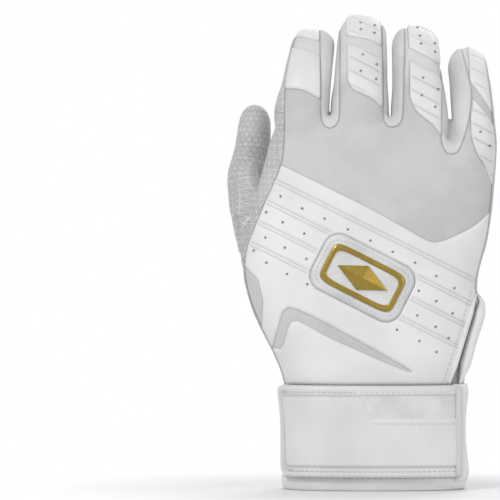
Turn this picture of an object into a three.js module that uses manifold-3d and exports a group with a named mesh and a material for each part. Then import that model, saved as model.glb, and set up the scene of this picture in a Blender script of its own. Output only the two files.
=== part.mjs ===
// Batting glove for a right hand, as a sewn assembly. Millimetres, +Z up the fingers.
// The back of the hand faces -Y, the palm faces +Y and the thumb is on the -X side.

import * as THREE from 'three';
import { mergeVertices } from 'three/addons/utils/BufferGeometryUtils.js';
import Module from 'manifold-3d';

const wasm = await Module();
wasm.setup();

// Thickness of the layers
const WALL = 1.2; // leather and fabric
const SEAM_GAP = 0.4; // clearance between neighbouring panels
const CAP_GAP = 0.8; // clearance between a tip cap and the panels below it
const LAYER_GAP = 0.3; // clearance under anything sewn on top
const KNUCKLE_PAD = 1.6; // moulded pad on a finger
const BADGE_BASE = 1.4;
const BADGE_PLATE = 1.0;
const BINDING = 1.0; // bound edge of the vent
const TAPE = 0.9; // hook tape or loop tape
const STRAP_BACKING = 1.2;
const STRAP_FACE = 0.8;
const HEM_ROLL = 0.8; // how far the hem stands out from the cuff

// Heights up the hand, from the hem to the knuckles
const HEM_HEIGHT = 8;
const PALM_EDGE = 39; // lower edge of the palm leather
const CUFF_HEIGHT = 47;
const HEEL_HEIGHT = 84;
const THENAR_HEIGHT = 103; // where the ball of the thumb is widest
const KNUCKLE_HEIGHT = 166;

// Reach of the hand to the thumb side, to the little-finger side and through, at those heights
const CUFF_RADIAL = 35;
const CUFF_ULNAR = 45.5;
const CUFF_DEPTH = 47;
const HEEL_RADIAL = 50.5;
const HEEL_ULNAR = 54.5;
const HEEL_DEPTH = 43;
const THENAR_RADIAL = 53;
const THENAR_ULNAR = 55.5;
const THENAR_DEPTH = 40;
const KNUCKLE_RADIAL = 38.8;
const KNUCKLE_DEPTH = 28;
const HAND_SQUARENESS = 2.6; // 2 is an ellipse, higher is boxier

// Fingers, from the thumb side: lean is to the little-finger side, lift is above the knuckle height
const FINGER_GAP = 3.5;
const FINGER_CURL = 70; // degrees from the root to the tip
const FINGER_DEPTH = 26; // at the root
const FINGERTIP_DEPTH = 19;
const FINGER_DOME = 9; // length of the rounded end
const FINGER_SQUARENESS = 2.5;
const FRONT_SEAM = 125; // degrees from the middle of the back to the palm leather's edge
const FINGERS = [
  { name: 'index', width: 22.2, tipWidth: 19.5, length: 45.7, lean: 10.5, lift: 1, seams: [-62, 32] },
  { name: 'middle', width: 23.8, tipWidth: 20.5, length: 53, lean: 2.5, lift: 1.5, seams: [-50, 50] },
  { name: 'ring', width: 23.2, tipWidth: 19.5, length: 49, lean: -2, lift: -0.5, seams: [-42, 50] },
  { name: 'little', width: 18.4, tipWidth: 16.5, length: 50, lean: -6, lift: -11, seams: [-28, 70] },
];

// Pieces along a finger, as shares of its length
const TIP_CAP_BACK = 0.56; // the cap's edge on the back of the finger
const TIP_CAP_FRONT = 0.92; // and on the palm side
const KNUCKLE_PAD_START = 0.1;
const KNUCKLE_PAD_END = 0.48;
const KNUCKLE_PAD_INSET = 9; // degrees inside the seams

// Thumb: the line through its middle, and its size along that line
const THUMB_ROOT = [-39, 1.5, 86];
const THUMB_KNUCKLE = [-52, 17, 136];
const THUMB_MIDDLE = [-50.2, 21, 152];
const THUMB_END = [-49, 24, 173];
const THUMB_ROOT_WIDTH = 22;
const THUMB_KNUCKLE_WIDTH = 19;
const THUMB_END_WIDTH = 14.5;
const THUMB_ROOT_DEPTH = 24;
const THUMB_KNUCKLE_DEPTH = 23;
const THUMB_END_DEPTH = 18;
const THUMB_SPLIT = 0.56; // share of its length that belongs to the fixed root
const THUMB_CAP = 0.88;
const THUMB_SEAM = 90; // degrees from the middle of the back to the side seam
const THUMB_DOME = 9;

// Seams between the back and the palm, in degrees from the middle of the back
const RADIAL_SEAM = -66;
const ULNAR_SEAM = 78;
const THENAR_EDGE = 7; // depth on the palm side where the patch at the ball of the thumb begins
const THENAR_FOOT = 3; // how far that patch stays above the palm leather's lower edge
const HEEL_SEAM_TOP = 0.37; // upper end of the seam between it and the heel panel, from heel to thenar height
const HEEL_SEAM_OUT = 1.21; // the same where that seam runs off the hand's edge

// Badge, vent and finger webs
const BADGE_HEIGHT = 95; // height of its middle
const BADGE_ACROSS = -0.03; // share of the half width
const BADGE_LENGTH = 44;
const BADGE_WIDTH = 27;
const BADGE_CORNER = 7;
const BADGE_RIM = 4; // backing that shows round the plate
const BADGE_TILT = -27; // degrees
const VENT_HEIGHT = 85; // top of the vent
const VENT_BINDING_WIDTH = 3;
const WEB_RADIUS = 4;

// Cuff pieces, in degrees from the middle of the back
const GUSSET_START = 52; // where the strap ends
const SIDE_SEAM = 90;
const TAPE_START = -66;
const LOOP_END = 8;
const HOOK_END = -22;
const TAPE_MARGIN = 7; // below the strap's upper edge and above its lower edge
const STRAP_LOW = 6; // lower edge of the strap
const STRAP_END_TOP = -78;
const STRAP_END_LOW = -64;
const WINDOW_LOW = 30;
const WINDOW_MARGIN = 5.5; // below the strap's upper edge and beside its root
const WINDOW_LENGTH = 36;

// Facets
const HAND_STEPS = 40;
const HAND_ROW = 12; // height of a row of facets on the hand
const FINGER_STEPS = 8;
const CAP_STEPS = 4;
const DEGREES_PER_STEP = 18;
const FAR = 200; // beyond the whole glove

const radians = THREE.MathUtils.degToRad;
const lerp = THREE.MathUtils.lerp;

// A smooth curve through [place, value] pairs, level beyond both ends.
function smooth(knots) {
  const last = knots.length - 1;
  const slopes = knots.map((knot, i) => {
    const before = knots[Math.max(i - 1, 0)];
    const after = knots[Math.min(i + 1, last)];
    return (after[1] - before[1]) / (after[0] - before[0]);
  });
  return (place) => {
    const at = THREE.MathUtils.clamp(place, knots[0][0], knots[last][0]);
    let i = 0;
    while (i < last - 1 && at > knots[i + 1][0]) i += 1;
    const [start, from] = knots[i];
    const [end, to] = knots[i + 1];
    const span = end - start;
    const t = (at - start) / span;
    const bend = slopes[i] * (1 - t) - slopes[i + 1] * t;
    const ease = t * t * (3 - 2 * t);
    return lerp(from, to, ease) + span * t * (1 - t) * bend;
  };
}

// A rounded section: turn 0 is the back, 90 the little-finger side and 180 the palm.
function rounded(turn, halfWidth, halfDepth, squareness) {
  const across = Math.sin(radians(turn));
  const back = Math.cos(radians(turn));
  const power = 2 / squareness;
  const x = Math.sign(across) * Math.abs(across) ** power * halfWidth;
  const out = Math.sign(back) * Math.abs(back) ** power * halfDepth;
  return [x, out];
}

// Solids from vertices and triangles, facing out, with shared vertices merged.
function solidFrom(points, triangles) {
  const geometry = new THREE.BufferGeometry();
  geometry.setAttribute('position', new THREE.Float32BufferAttribute(points.flat(), 3));
  geometry.setIndex(triangles);
  return solidOf(geometry);
}

function solidOf(geometry) {
  geometry.deleteAttribute('normal');
  geometry.deleteAttribute('uv');
  const merged = mergeVertices(geometry, 1e-4);
  const corners = merged.index.array;
  const triVerts = [];
  for (let i = 0; i < corners.length; i += 3) {
    const [a, b, c] = corners.slice(i, i + 3);
    if (a !== b && b !== c && c !== a) triVerts.push(a, b, c);
  }
  const mesh = new wasm.Mesh({
    numProp: 3,
    vertProperties: merged.attributes.position.array,
    triVerts: new Uint32Array(triVerts),
  });
  mesh.merge();
  return new wasm.Manifold(mesh);
}

function limit(bound, at) {
  return typeof bound === 'function' ? bound(at) : bound;
}

// A sheet of a skin between two offsets, over a range of turn and of rise. A turn bound may depend on the
// share of the rise, and a rise bound on the turn. A full turn closes on itself.
function sheet(skin, turn, rise, offset, steps, ease = (share) => share) {
  const [turnSteps, riseSteps] = steps;
  const points = [];
  const at = (i, j, layer) => (layer * (riseSteps + 1) + j) * (turnSteps + 1) + i;
  for (const out of offset) {
    for (let j = 0; j <= riseSteps; j += 1) {
      const up = ease(j / riseSteps);
      for (let i = 0; i <= turnSteps; i += 1) {
        const angle = lerp(limit(turn[0], up), limit(turn[1], up), i / turnSteps);
        const height = lerp(limit(rise[0], angle), limit(rise[1], angle), up);
        points.push(skin(angle, height, out));
      }
    }
  }
  const triangles = [];
  const quad = (a, b, c, d) => triangles.push(a, b, c, a, c, d);
  for (let j = 0; j < riseSteps; j += 1) {
    for (let i = 0; i < turnSteps; i += 1) {
      quad(at(i, j, 1), at(i + 1, j, 1), at(i + 1, j + 1, 1), at(i, j + 1, 1));
      quad(at(i, j, 0), at(i, j + 1, 0), at(i + 1, j + 1, 0), at(i + 1, j, 0));
    }
  }
  for (let i = 0; i < turnSteps; i += 1) {
    quad(at(i, 0, 0), at(i + 1, 0, 0), at(i + 1, 0, 1), at(i, 0, 1));
    quad(at(i, riseSteps, 0), at(i, riseSteps, 1), at(i + 1, riseSteps, 1), at(i + 1, riseSteps, 0));
  }
  const closes = typeof turn[0] === 'number' && turn[1] - turn[0] >= 360;
  for (let j = 0; j < riseSteps && !closes; j += 1) {
    quad(at(0, j, 0), at(0, j, 1), at(0, j + 1, 1), at(0, j + 1, 0));
    quad(at(turnSteps, j, 0), at(turnSteps, j + 1, 0), at(turnSteps, j + 1, 1), at(turnSteps, j, 1));
  }
  return solidFrom(points, triangles);
}

// The filled space inside one offset of a skin.
function core(skin, rise, offset, steps) {
  const [turnSteps, riseSteps] = steps;
  const points = [];
  for (let j = 0; j <= riseSteps; j += 1) {
    const height = lerp(rise[0], rise[1], j / riseSteps);
    for (let i = 0; i < turnSteps; i += 1) points.push(skin((i * 360) / turnSteps, height, offset));
  }
  const middle = (j) => {
    const ring = points.slice(j * turnSteps, (j + 1) * turnSteps);
    return [0, 1, 2].map((axis) => ring.reduce((sum, point) => sum + point[axis], 0) / turnSteps);
  };
  const low = points.length;
  points.push(middle(0), middle(riseSteps));
  const triangles = [];
  for (let i = 0; i < turnSteps; i += 1) {
    const next = (i + 1) % turnSteps;
    for (let j = 0; j < riseSteps; j += 1) {
      const here = j * turnSteps;
      const above = here + turnSteps;
      triangles.push(here + i, here + next, above + next, here + i, above + next, above + i);
    }
    triangles.push(low, next, i);
    triangles.push(low + 1, riseSteps * turnSteps + i, riseSteps * turnSteps + next);
  }
  return solidFrom(points, triangles);
}

// A column along Y with an outline of [x, z] points.
function column(outline, from, to) {
  const shape = new THREE.Shape(outline.map(([x, z]) => new THREE.Vector2(x, z)));
  const geometry = new THREE.ExtrudeGeometry(shape, { depth: to - from, bevelEnabled: false });
  geometry.rotateX(Math.PI / 2);
  geometry.translate(0, to, 0);
  return solidOf(geometry);
}

// The same outline moved outwards, or inwards for a negative distance.
function grow(outline, distance) {
  const area = THREE.ShapeUtils.area(outline.map(([x, y]) => new THREE.Vector2(x, y)));
  const outward = Math.sign(area) * distance;
  return outline.map((point, i) => {
    const before = outline[(i + outline.length - 1) % outline.length];
    const after = outline[(i + 1) % outline.length];
    const normal = (a, b) => {
      const length = Math.hypot(b[0] - a[0], b[1] - a[1]);
      return [(b[1] - a[1]) / length, (a[0] - b[0]) / length];
    };
    const [ax, ay] = normal(before, point);
    const [bx, by] = normal(point, after);
    const share = outward / Math.max(1 + ax * bx + ay * by, 0.5);
    return [point[0] + (ax + bx) * share, point[1] + (ay + by) * share];
  });
}

// A smooth line through points, as a list of points again.
function curve(points, steps) {
  const spline = new THREE.SplineCurve(points.map(([x, y]) => new THREE.Vector2(x, y)));
  return spline.getPoints(steps).map((point) => [point.x, point.y]);
}

// The hand: its edges, its depth and its skin.
const FINGER_WIDTHS = FINGERS.reduce((sum, finger) => sum + finger.width, 0);
const KNUCKLE_WIDTH = FINGER_WIDTHS + (FINGERS.length - 1) * FINGER_GAP;
const KNUCKLE_ULNAR = KNUCKLE_WIDTH - KNUCKLE_RADIAL;
const radialEdge = smooth([
  [0, -CUFF_RADIAL],
  [CUFF_HEIGHT, -CUFF_RADIAL],
  [HEEL_HEIGHT, -HEEL_RADIAL],
  [THENAR_HEIGHT, -THENAR_RADIAL],
  [KNUCKLE_HEIGHT, -KNUCKLE_RADIAL],
]);
const ulnarEdge = smooth([
  [0, CUFF_ULNAR],
  [CUFF_HEIGHT, CUFF_ULNAR],
  [HEEL_HEIGHT, HEEL_ULNAR],
  [THENAR_HEIGHT, THENAR_ULNAR],
  [KNUCKLE_HEIGHT, KNUCKLE_ULNAR],
]);
const handDepth = smooth([
  [0, CUFF_DEPTH],
  [CUFF_HEIGHT, CUFF_DEPTH],
  [HEEL_HEIGHT, HEEL_DEPTH],
  [THENAR_HEIGHT, THENAR_DEPTH],
  [KNUCKLE_HEIGHT, KNUCKLE_DEPTH],
]);

function handSection(z) {
  const middle = (radialEdge(z) + ulnarEdge(z)) / 2;
  return { middle, halfWidth: ulnarEdge(z) - middle, halfDepth: handDepth(z) / 2 };
}

function handSkin(turn, z, offset) {
  const { middle, halfWidth, halfDepth } = handSection(z);
  const [x, out] = rounded(turn, halfWidth + offset, halfDepth + offset, HAND_SQUARENESS);
  return [middle + x, -out, z];
}

// A height on the hand as a share of the way from the cuff to the knuckles.
function riseTo(share) {
  return lerp(CUFF_HEIGHT, KNUCKLE_HEIGHT, share);
}

// Points given as [share of the half width, height] become [x, z] on the hand.
function onHand(points) {
  return points.map(([share, z]) => {
    const { middle, halfWidth } = handSection(z);
    return [middle + share * halfWidth, z];
  });
}

// The same for points given as two shares.
function acrossHand(points) {
  return onHand(points.map(([share, rise]) => [share, riseTo(rise)]));
}

// Where each finger stands on the hand, side by side from the thumb side.
let nextEdge = -KNUCKLE_RADIAL;
for (const finger of FINGERS) {
  finger.x = nextEdge + finger.width / 2;
  finger.z = KNUCKLE_HEIGHT + finger.lift;
  nextEdge += finger.width + FINGER_GAP;
}

// The two ends of the line that a finger's root stands on.
function rootLine(finger) {
  const reach = (finger.width + FINGER_GAP) / 2;
  const tilt = radians(finger.lean);
  const along = reach * Math.cos(tilt);
  const drop = reach * Math.sin(tilt);
  const z = finger.z - SEAM_GAP;
  return [
    [finger.x - along, z + drop],
    [finger.x + along, z - drop],
  ];
}

const rootLines = FINGERS.flatMap(rootLine);
const handTop = Math.max(...rootLines.map((point) => point[1])) + WALL;
const fingerSpace = column(
  [
    [-FAR, rootLines[0][1]],
    ...rootLines,
    [FAR, rootLines.at(-1)[1]],
    [FAR, FAR * 2],
    [-FAR, FAR * 2],
  ],
  -FAR,
  FAR,
);

// The wall of the hand above the cuff, and the outlines that cut it into panels.
const handRows = Math.round((handTop - PALM_EDGE) / HAND_ROW);
const handWall = sheet(handSkin, [-180, 180], [PALM_EDGE, handTop], [-WALL, 0], [HAND_STEPS, handRows])
  .subtract(fingerSpace);

function seamLine(turn) {
  const points = [];
  for (let row = 0; row <= handRows; row += 1) {
    const z = lerp(CUFF_HEIGHT, handTop, row / handRows);
    const [x] = handSkin(turn, z, 0);
    points.push([x, z]);
  }
  return points;
}

const radialSeam = seamLine(RADIAL_SEAM);
const ulnarSeam = seamLine(ULNAR_SEAM);
const backOutline = [...radialSeam, ...ulnarSeam.reverse()];
const backSpace = column(grow(backOutline, -SEAM_GAP / 2), -FAR, 0);
const palmCut = column(grow(backOutline, SEAM_GAP / 2), -FAR, 0);
const cuffCut = column(
  [
    [-FAR, 0],
    [FAR, 0],
    [FAR, CUFF_HEIGHT + SEAM_GAP],
    [-FAR, CUFF_HEIGHT + SEAM_GAP],
  ],
  -FAR,
  SEAM_GAP,
);
const backWall = handWall.intersect(backSpace).subtract(cuffCut);
const palmWall = handWall.subtract(palmCut).subtract(cuffCut);

// Cuts a panel out of a wall by its outline, and leaves the seam clearance on what is left. A cut may stay
// on the palm side of a given depth.
function cutOut(wall, outline, from = -FAR) {
  const inset = SEAM_GAP / 2;
  const panel = wall.intersect(column(grow(outline, -inset), from + inset, FAR));
  const rest = wall.subtract(column(grow(outline, inset), from - inset, FAR));
  return { panel, rest };
}

// Panels on the back: stretch knuckle panel, vent, two inlays and the embossed panel that is left.
const knuckleEdge = curve(
  acrossHand([
    [-1.05, 0.857],
    [-0.88, 0.828],
    [-0.07, 0.668],
    [0.48, 0.542],
    [0.6, 0.535],
    [0.75, 0.563],
    [0.97, 0.652],
    [1.05, 0.689],
  ]),
  22,
);
const knuckleCut = cutOut(backWall, [...knuckleEdge, [FAR, FAR * 2], [-FAR, FAR * 2]]);

const ventFoot = handSkin(GUSSET_START - 3, CUFF_HEIGHT, 0)[0];
const ventTip = handSkin(ULNAR_SEAM, VENT_HEIGHT, 0)[0];
const ventOutline = [
  [ventFoot, CUFF_HEIGHT],
  [ventTip, VENT_HEIGHT],
  [FAR, VENT_HEIGHT],
  [FAR, CUFF_HEIGHT],
];
const ventCut = cutOut(knuckleCut.rest, ventOutline);

const sideCut = cutOut(
  ventCut.rest,
  acrossHand([
    [-1.2, 0.462],
    [-0.9, 0.421],
    [-0.84, 0.328],
    [-0.9, 0.202],
    [-1.2, 0.143],
  ]),
);

const flexCut = cutOut(
  sideCut.rest,
  acrossHand([
    [-0.87, 0.126],
    [-0.74, 0.29],
    [0.38, 0.046],
    [-0.68, 0.236],
    [-0.78, 0.126],
  ]),
);

// Bound edge of the vent, on top of the embossed panel, and the gusset under it.
const ventSlope = grow(ventOutline, VENT_BINDING_WIDTH);
const bindingOutline = [
  [ventFoot - SEAM_GAP, CUFF_HEIGHT + SEAM_GAP],
  [ventTip - SEAM_GAP, VENT_HEIGHT],
  [ventSlope[1][0], VENT_HEIGHT],
  [ventSlope[0][0], CUFF_HEIGHT + SEAM_GAP],
];

function handLayer(low, high, from, to, outline) {
  const rows = Math.max(2, Math.round((high - low) / HAND_ROW));
  const layer = sheet(handSkin, [-SIDE_SEAM, SIDE_SEAM], [low, high], [from, to], [HAND_STEPS / 2, rows]);
  return layer.intersect(column(outline, -FAR, FAR));
}

const ventBinding = handLayer(CUFF_HEIGHT, VENT_HEIGHT, LAYER_GAP, LAYER_GAP + BINDING, bindingOutline);

// Badge backing and plate, tilted across the back.
function badgeOutline(rim) {
  const length = BADGE_LENGTH - 2 * rim;
  const width = BADGE_WIDTH - 2 * rim;
  const corner = BADGE_CORNER - rim / 2;
  const shape = new THREE.Shape();
  const [right, top] = [length / 2 - corner, width / 2 - corner];
  shape.absarc(right, top, corner, 0, Math.PI / 2);
  shape.absarc(-right, top, corner, Math.PI / 2, Math.PI);
  shape.absarc(-right, -top, corner, Math.PI, Math.PI * 1.5);
  shape.absarc(right, -top, corner, Math.PI * 1.5, Math.PI * 2);
  const [[x, z]] = onHand([[BADGE_ACROSS, BADGE_HEIGHT]]);
  const middle = new THREE.Vector2();
  return shape.getPoints(4).map((point) => {
    const turned = point.clone().rotateAround(middle, radians(BADGE_TILT));
    return [x + turned.x, z + turned.y];
  });
}

const badgeReach = (BADGE_LENGTH + BADGE_WIDTH) / 2;
const badgeLow = BADGE_HEIGHT - badgeReach;
const badgeHigh = BADGE_HEIGHT + badgeReach;
const plateFoot = LAYER_GAP + BADGE_BASE + LAYER_GAP;
const badgeBase = handLayer(badgeLow, badgeHigh, LAYER_GAP, LAYER_GAP + BADGE_BASE, badgeOutline(0));
const plateTop = plateFoot + BADGE_PLATE;
const badgePlate = handLayer(badgeLow, badgeHigh, plateFoot, plateTop, badgeOutline(BADGE_RIM));

// Digits: a bent line with rounded sections and a domed end. Rise runs from 0 at the root to 1 at the tip.
function digitSkin({ frame, length, halfWidth, halfDepth, dome, squareness }) {
  return (turn, rise, offset) => {
    const top = length + offset;
    const along = rise * top;
    const into = (along - (length - dome)) / (dome + offset);
    const scale = into > 0 ? Math.sqrt(Math.max(1 - into * into, 0)) : 1;
    const wide = (halfWidth(along / length) + offset) * scale;
    const deep = (halfDepth(along / length) + offset) * scale;
    const [x, out] = rounded(turn, wide, deep, squareness);
    const { point, side, back } = frame(along);
    return point.clone().addScaledVector(side, x).addScaledVector(back, out).toArray();
  };
}

function fingerSkin(finger) {
  const radius = finger.length / radians(FINGER_CURL);
  const side = new THREE.Vector3(1, 0, 0);
  return digitSkin({
    length: finger.length,
    dome: FINGER_DOME,
    squareness: FINGER_SQUARENESS,
    halfWidth: smooth([[0, finger.width / 2], [1, finger.tipWidth / 2]]),
    halfDepth: smooth([[0, FINGER_DEPTH / 2], [1, FINGERTIP_DEPTH / 2]]),
    frame: (along) => {
      const bend = along / radius;
      const point = new THREE.Vector3(0, radius * (1 - Math.cos(bend)), radius * Math.sin(bend));
      return { point, side, back: new THREE.Vector3(0, -Math.cos(bend), Math.sin(bend)) };
    },
  });
}

// The tip cap reaches further down the back than the palm side.
function capEdge(turn) {
  const toPalm = Math.abs(THREE.MathUtils.euclideanModulo(turn + 180, 360) - 180);
  return lerp(TIP_CAP_BACK, TIP_CAP_FRONT, THREE.MathUtils.smoothstep(toPalm, 20, FRONT_SEAM));
}

// The pieces of one finger around its root at the origin.
function fingerPieces(finger) {
  const skin = fingerSkin(finger);
  const [radial, ulnar] = finger.seams;
  const seam = THREE.MathUtils.radToDeg(SEAM_GAP / finger.tipWidth);
  const gap = CAP_GAP / finger.length;
  const wallTop = (turn) => capEdge(turn) - gap;
  const panel = (from, to) => {
    const steps = Math.max(2, Math.round((to - from) / DEGREES_PER_STEP));
    return sheet(skin, [from + seam, to - seam], [0, wallTop], [-WALL, 0], [steps, FINGER_STEPS]);
  };
  const capGrid = [360 / DEGREES_PER_STEP, CAP_STEPS];
  const isIndex = finger === FINGERS[0];
  const isLittle = finger === FINGERS.at(-1);
  const pieces = {
    front: panel(isLittle ? ulnar : FRONT_SEAM, 360 + (isIndex ? radial : -FRONT_SEAM)),
    back: panel(radial, ulnar),
    tip_cap: sheet(skin, [-180, 180], [capEdge, 1], [-WALL, 0], capGrid, (share) =>
      Math.sin((share * Math.PI) / 2),
    ),
    knuckle_pad: sheet(
      skin,
      [radial + KNUCKLE_PAD_INSET, ulnar - KNUCKLE_PAD_INSET],
      [KNUCKLE_PAD_START, KNUCKLE_PAD_END],
      [LAYER_GAP, LAYER_GAP + KNUCKLE_PAD],
      [4, 4],
    ),
  };
  if (!isIndex) pieces.radial_fourchette = panel(-FRONT_SEAM, radial);
  if (!isLittle) pieces.ulnar_fourchette = panel(ulnar, FRONT_SEAM);
  return pieces;
}

// Thumb: its middle line, its skin and its pieces.
const thumbLine = new THREE.CatmullRomCurve3(
  [THUMB_ROOT, THUMB_KNUCKLE, THUMB_MIDDLE, THUMB_END].map((point) => new THREE.Vector3(...point)),
);
const thumbLength = thumbLine.getLength();

function thumbFrame(along) {
  const share = THREE.MathUtils.clamp(along / thumbLength, 0, 1);
  const tangent = thumbLine.getTangentAt(share);
  const point = thumbLine.getPointAt(share).addScaledVector(tangent, along - share * thumbLength);
  const side = new THREE.Vector3(1, 0, 0).addScaledVector(tangent, -tangent.x).normalize();
  return { point, side, back: new THREE.Vector3().crossVectors(side, tangent) };
}

const thumbSkin = digitSkin({
  length: thumbLength,
  dome: THUMB_DOME,
  squareness: 2,
  halfWidth: smooth([[0, THUMB_ROOT_WIDTH / 2], [0.5, THUMB_KNUCKLE_WIDTH / 2], [1, THUMB_END_WIDTH / 2]]),
  halfDepth: smooth([[0, THUMB_ROOT_DEPTH / 2], [0.5, THUMB_KNUCKLE_DEPTH / 2], [1, THUMB_END_DEPTH / 2]]),
  frame: thumbFrame,
});
const thumbGap = SEAM_GAP / thumbLength;
const thumbSeamGap = THREE.MathUtils.radToDeg(SEAM_GAP / THUMB_END_WIDTH);
const thumbRound = 360 / DEGREES_PER_STEP;
const handCore = core(handSkin, [PALM_EDGE, handTop], SEAM_GAP, [HAND_STEPS, handRows]);

function thumbPanel(from, to) {
  const turn = [from + thumbSeamGap, to - thumbSeamGap];
  const rise = [THUMB_SPLIT + thumbGap, THUMB_CAP - thumbGap];
  return sheet(thumbSkin, turn, rise, [-WALL, 0], [thumbRound / 2, 4]).subtract(handCore);
}

const thumbSleeve = sheet(thumbSkin, [-180, 180], [0, THUMB_SPLIT], [-WALL, 0], [thumbRound, 5]);
const thumbBase = thumbSleeve.subtract(handCore);
const thumbTip = sheet(thumbSkin, [-180, 180], [THUMB_CAP, 1], [-WALL, 0], [thumbRound, CAP_STEPS], (share) =>
  Math.sin((share * Math.PI) / 2),
);
const thumbHollow = core(thumbSkin, [0, THUMB_SPLIT], -WALL, [thumbRound, 5]);

// Panels on the palm: the patch at the ball of the thumb, the heel panel and the leather that is left.
const holedPalm = palmWall.subtract(thumbHollow);
const heelSeam = onHand([
  [-1.2, lerp(HEEL_HEIGHT, THENAR_HEIGHT, HEEL_SEAM_OUT)],
  [-0.87, lerp(HEEL_HEIGHT, THENAR_HEIGHT, HEEL_SEAM_TOP)],
  [-0.4, PALM_EDGE + THENAR_FOOT],
]);
const thenarOutline = [
  ...curve(
    [
      heelSeam[2],
      ...acrossHand([
        [0.08, 0.068],
        [0.16, 0.244],
        [0.06, 0.403],
        [-0.45, 0.614],
      ]),
    ],
    14,
  ),
  [-FAR, riseTo(0.706)],
  heelSeam[0],
  heelSeam[1],
];
const thenarCut = cutOut(holedPalm, thenarOutline, THENAR_EDGE);
const heelCut = cutOut(thenarCut.rest, [
  heelSeam[2],
  heelSeam[1],
  heelSeam[0],
  [-FAR, 0],
  [heelSeam[2][0], 0],
]);

// Saddles between the fingers, from the back wall to the palm wall.
function web(left, right) {
  const x = (left.x + left.width / 2 + right.x - right.width / 2) / 2;
  const top = Math.min(rootLine(left)[1][1], rootLine(right)[0][1]) - SEAM_GAP;
  const { middle, halfWidth, halfDepth } = handSection(top - WEB_RADIUS);
  const share = (Math.abs(x - middle) + WEB_RADIUS) / (halfWidth - WALL);
  const reach = (halfDepth - WALL) * (1 - share ** HAND_SQUARENESS) ** (1 / HAND_SQUARENESS) - SEAM_GAP;
  const shape = new THREE.Shape();
  shape.absarc(x, top - WEB_RADIUS, WEB_RADIUS, 0, Math.PI);
  shape.absarc(x, top - WEB_RADIUS, WEB_RADIUS - WALL, Math.PI, 0, true);
  const outline = shape.getPoints(6).map((point) => [point.x, point.y]);
  return column(outline, -reach, reach);
}

// Cuff: hem, palm-side elastic, back wall, gusset and the strap with its tapes.
const cuffHalfWidth = (CUFF_RADIAL + CUFF_ULNAR) / 2;
const cuffGap = THREE.MathUtils.radToDeg((2 * SEAM_GAP) / cuffHalfWidth);
const sideGap = THREE.MathUtils.radToDeg((SEAM_GAP / (CUFF_DEPTH / 2)) ** (HAND_SQUARENESS / 2));
const cuffRise = [HEM_HEIGHT + SEAM_GAP, CUFF_HEIGHT];
const loopOut = LAYER_GAP;
const hookOut = loopOut + TAPE + LAYER_GAP;
const backingOut = hookOut + TAPE + LAYER_GAP;
const faceOut = backingOut + STRAP_BACKING + LAYER_GAP;
const strapOut = faceOut + STRAP_FACE;
const strapEnd = (share) => lerp(STRAP_END_LOW, STRAP_END_TOP, share);
const strapRoot = GUSSET_START - cuffGap;
const strapRise = [STRAP_LOW, CUFF_HEIGHT];
const tapeRise = [STRAP_LOW + TAPE_MARGIN, CUFF_HEIGHT - TAPE_MARGIN];

const hem = sheet(handSkin, [-180, 180], [0, HEM_HEIGHT], [-WALL, HEM_ROLL], [HAND_STEPS, 1]);
const elastic = sheet(
  handSkin,
  [SIDE_SEAM + sideGap, 360 - SIDE_SEAM - sideGap],
  [HEM_HEIGHT + SEAM_GAP, PALM_EDGE - SEAM_GAP],
  [-WALL, 0],
  [HAND_STEPS / 2, 3],
);
const underlap = sheet(handSkin, [-SIDE_SEAM, GUSSET_START - cuffGap], cuffRise, [-WALL, 0], [18, 3]);
const gusset = sheet(handSkin, [GUSSET_START, SIDE_SEAM], cuffRise, [-WALL, strapOut], [5, 3]);
const loopPatch = sheet(handSkin, [TAPE_START, LOOP_END], tapeRise, [loopOut, loopOut + TAPE], [10, 2]);
const hookPatch = sheet(handSkin, [TAPE_START, HOOK_END], tapeRise, [hookOut, hookOut + TAPE], [7, 2]);
const backing = sheet(
  handSkin,
  [strapEnd, strapRoot],
  strapRise,
  [backingOut, backingOut + STRAP_BACKING],
  [20, 3],
);
const facing = sheet(handSkin, [strapEnd, strapRoot], strapRise, [faceOut, strapOut], [20, 3]);
const windowRight = handSkin(strapRoot, CUFF_HEIGHT, strapOut)[0] - WINDOW_MARGIN;
const windowTop = CUFF_HEIGHT - WINDOW_MARGIN;
const windowCut = cutOut(facing, [
  [windowRight - WINDOW_LENGTH, windowTop],
  [windowRight, windowTop],
  [windowRight, WINDOW_LOW],
  [windowRight - WINDOW_LENGTH + (windowTop - WINDOW_LOW) / 2, WINDOW_LOW],
]);

// Finishes
const WHITE = { color: 0xf0f0ef, roughness: 0.55, metalness: 0 };
const GREY = { color: 0xc9cacb, roughness: 0.75, metalness: 0 };
const LEATHER = { color: 0xbfbfbd, roughness: 0.6, metalness: 0 };
const KNIT = { color: 0xc2c3c6, roughness: 0.9, metalness: 0 };
const DARK = { color: 0x55575a, roughness: 0.9, metalness: 0 };
const RUBBER = { color: 0xd9d9d8, roughness: 0.5, metalness: 0 };
const GOLD = { color: 0xaa8c32, roughness: 0.3, metalness: 1 };

function add(group, name, solid, finish) {
  const { vertProperties, triVerts } = solid.getMesh();
  const geometry = new THREE.BufferGeometry();
  geometry.setAttribute('position', new THREE.BufferAttribute(vertProperties, 3));
  geometry.setIndex(new THREE.BufferAttribute(triVerts, 1));
  geometry.computeVertexNormals();
  const mesh = new THREE.Mesh(geometry, new THREE.MeshStandardMaterial(finish));
  mesh.name = name;
  group.add(mesh);
}

// Assembly
const glove = new THREE.Group();

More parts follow.
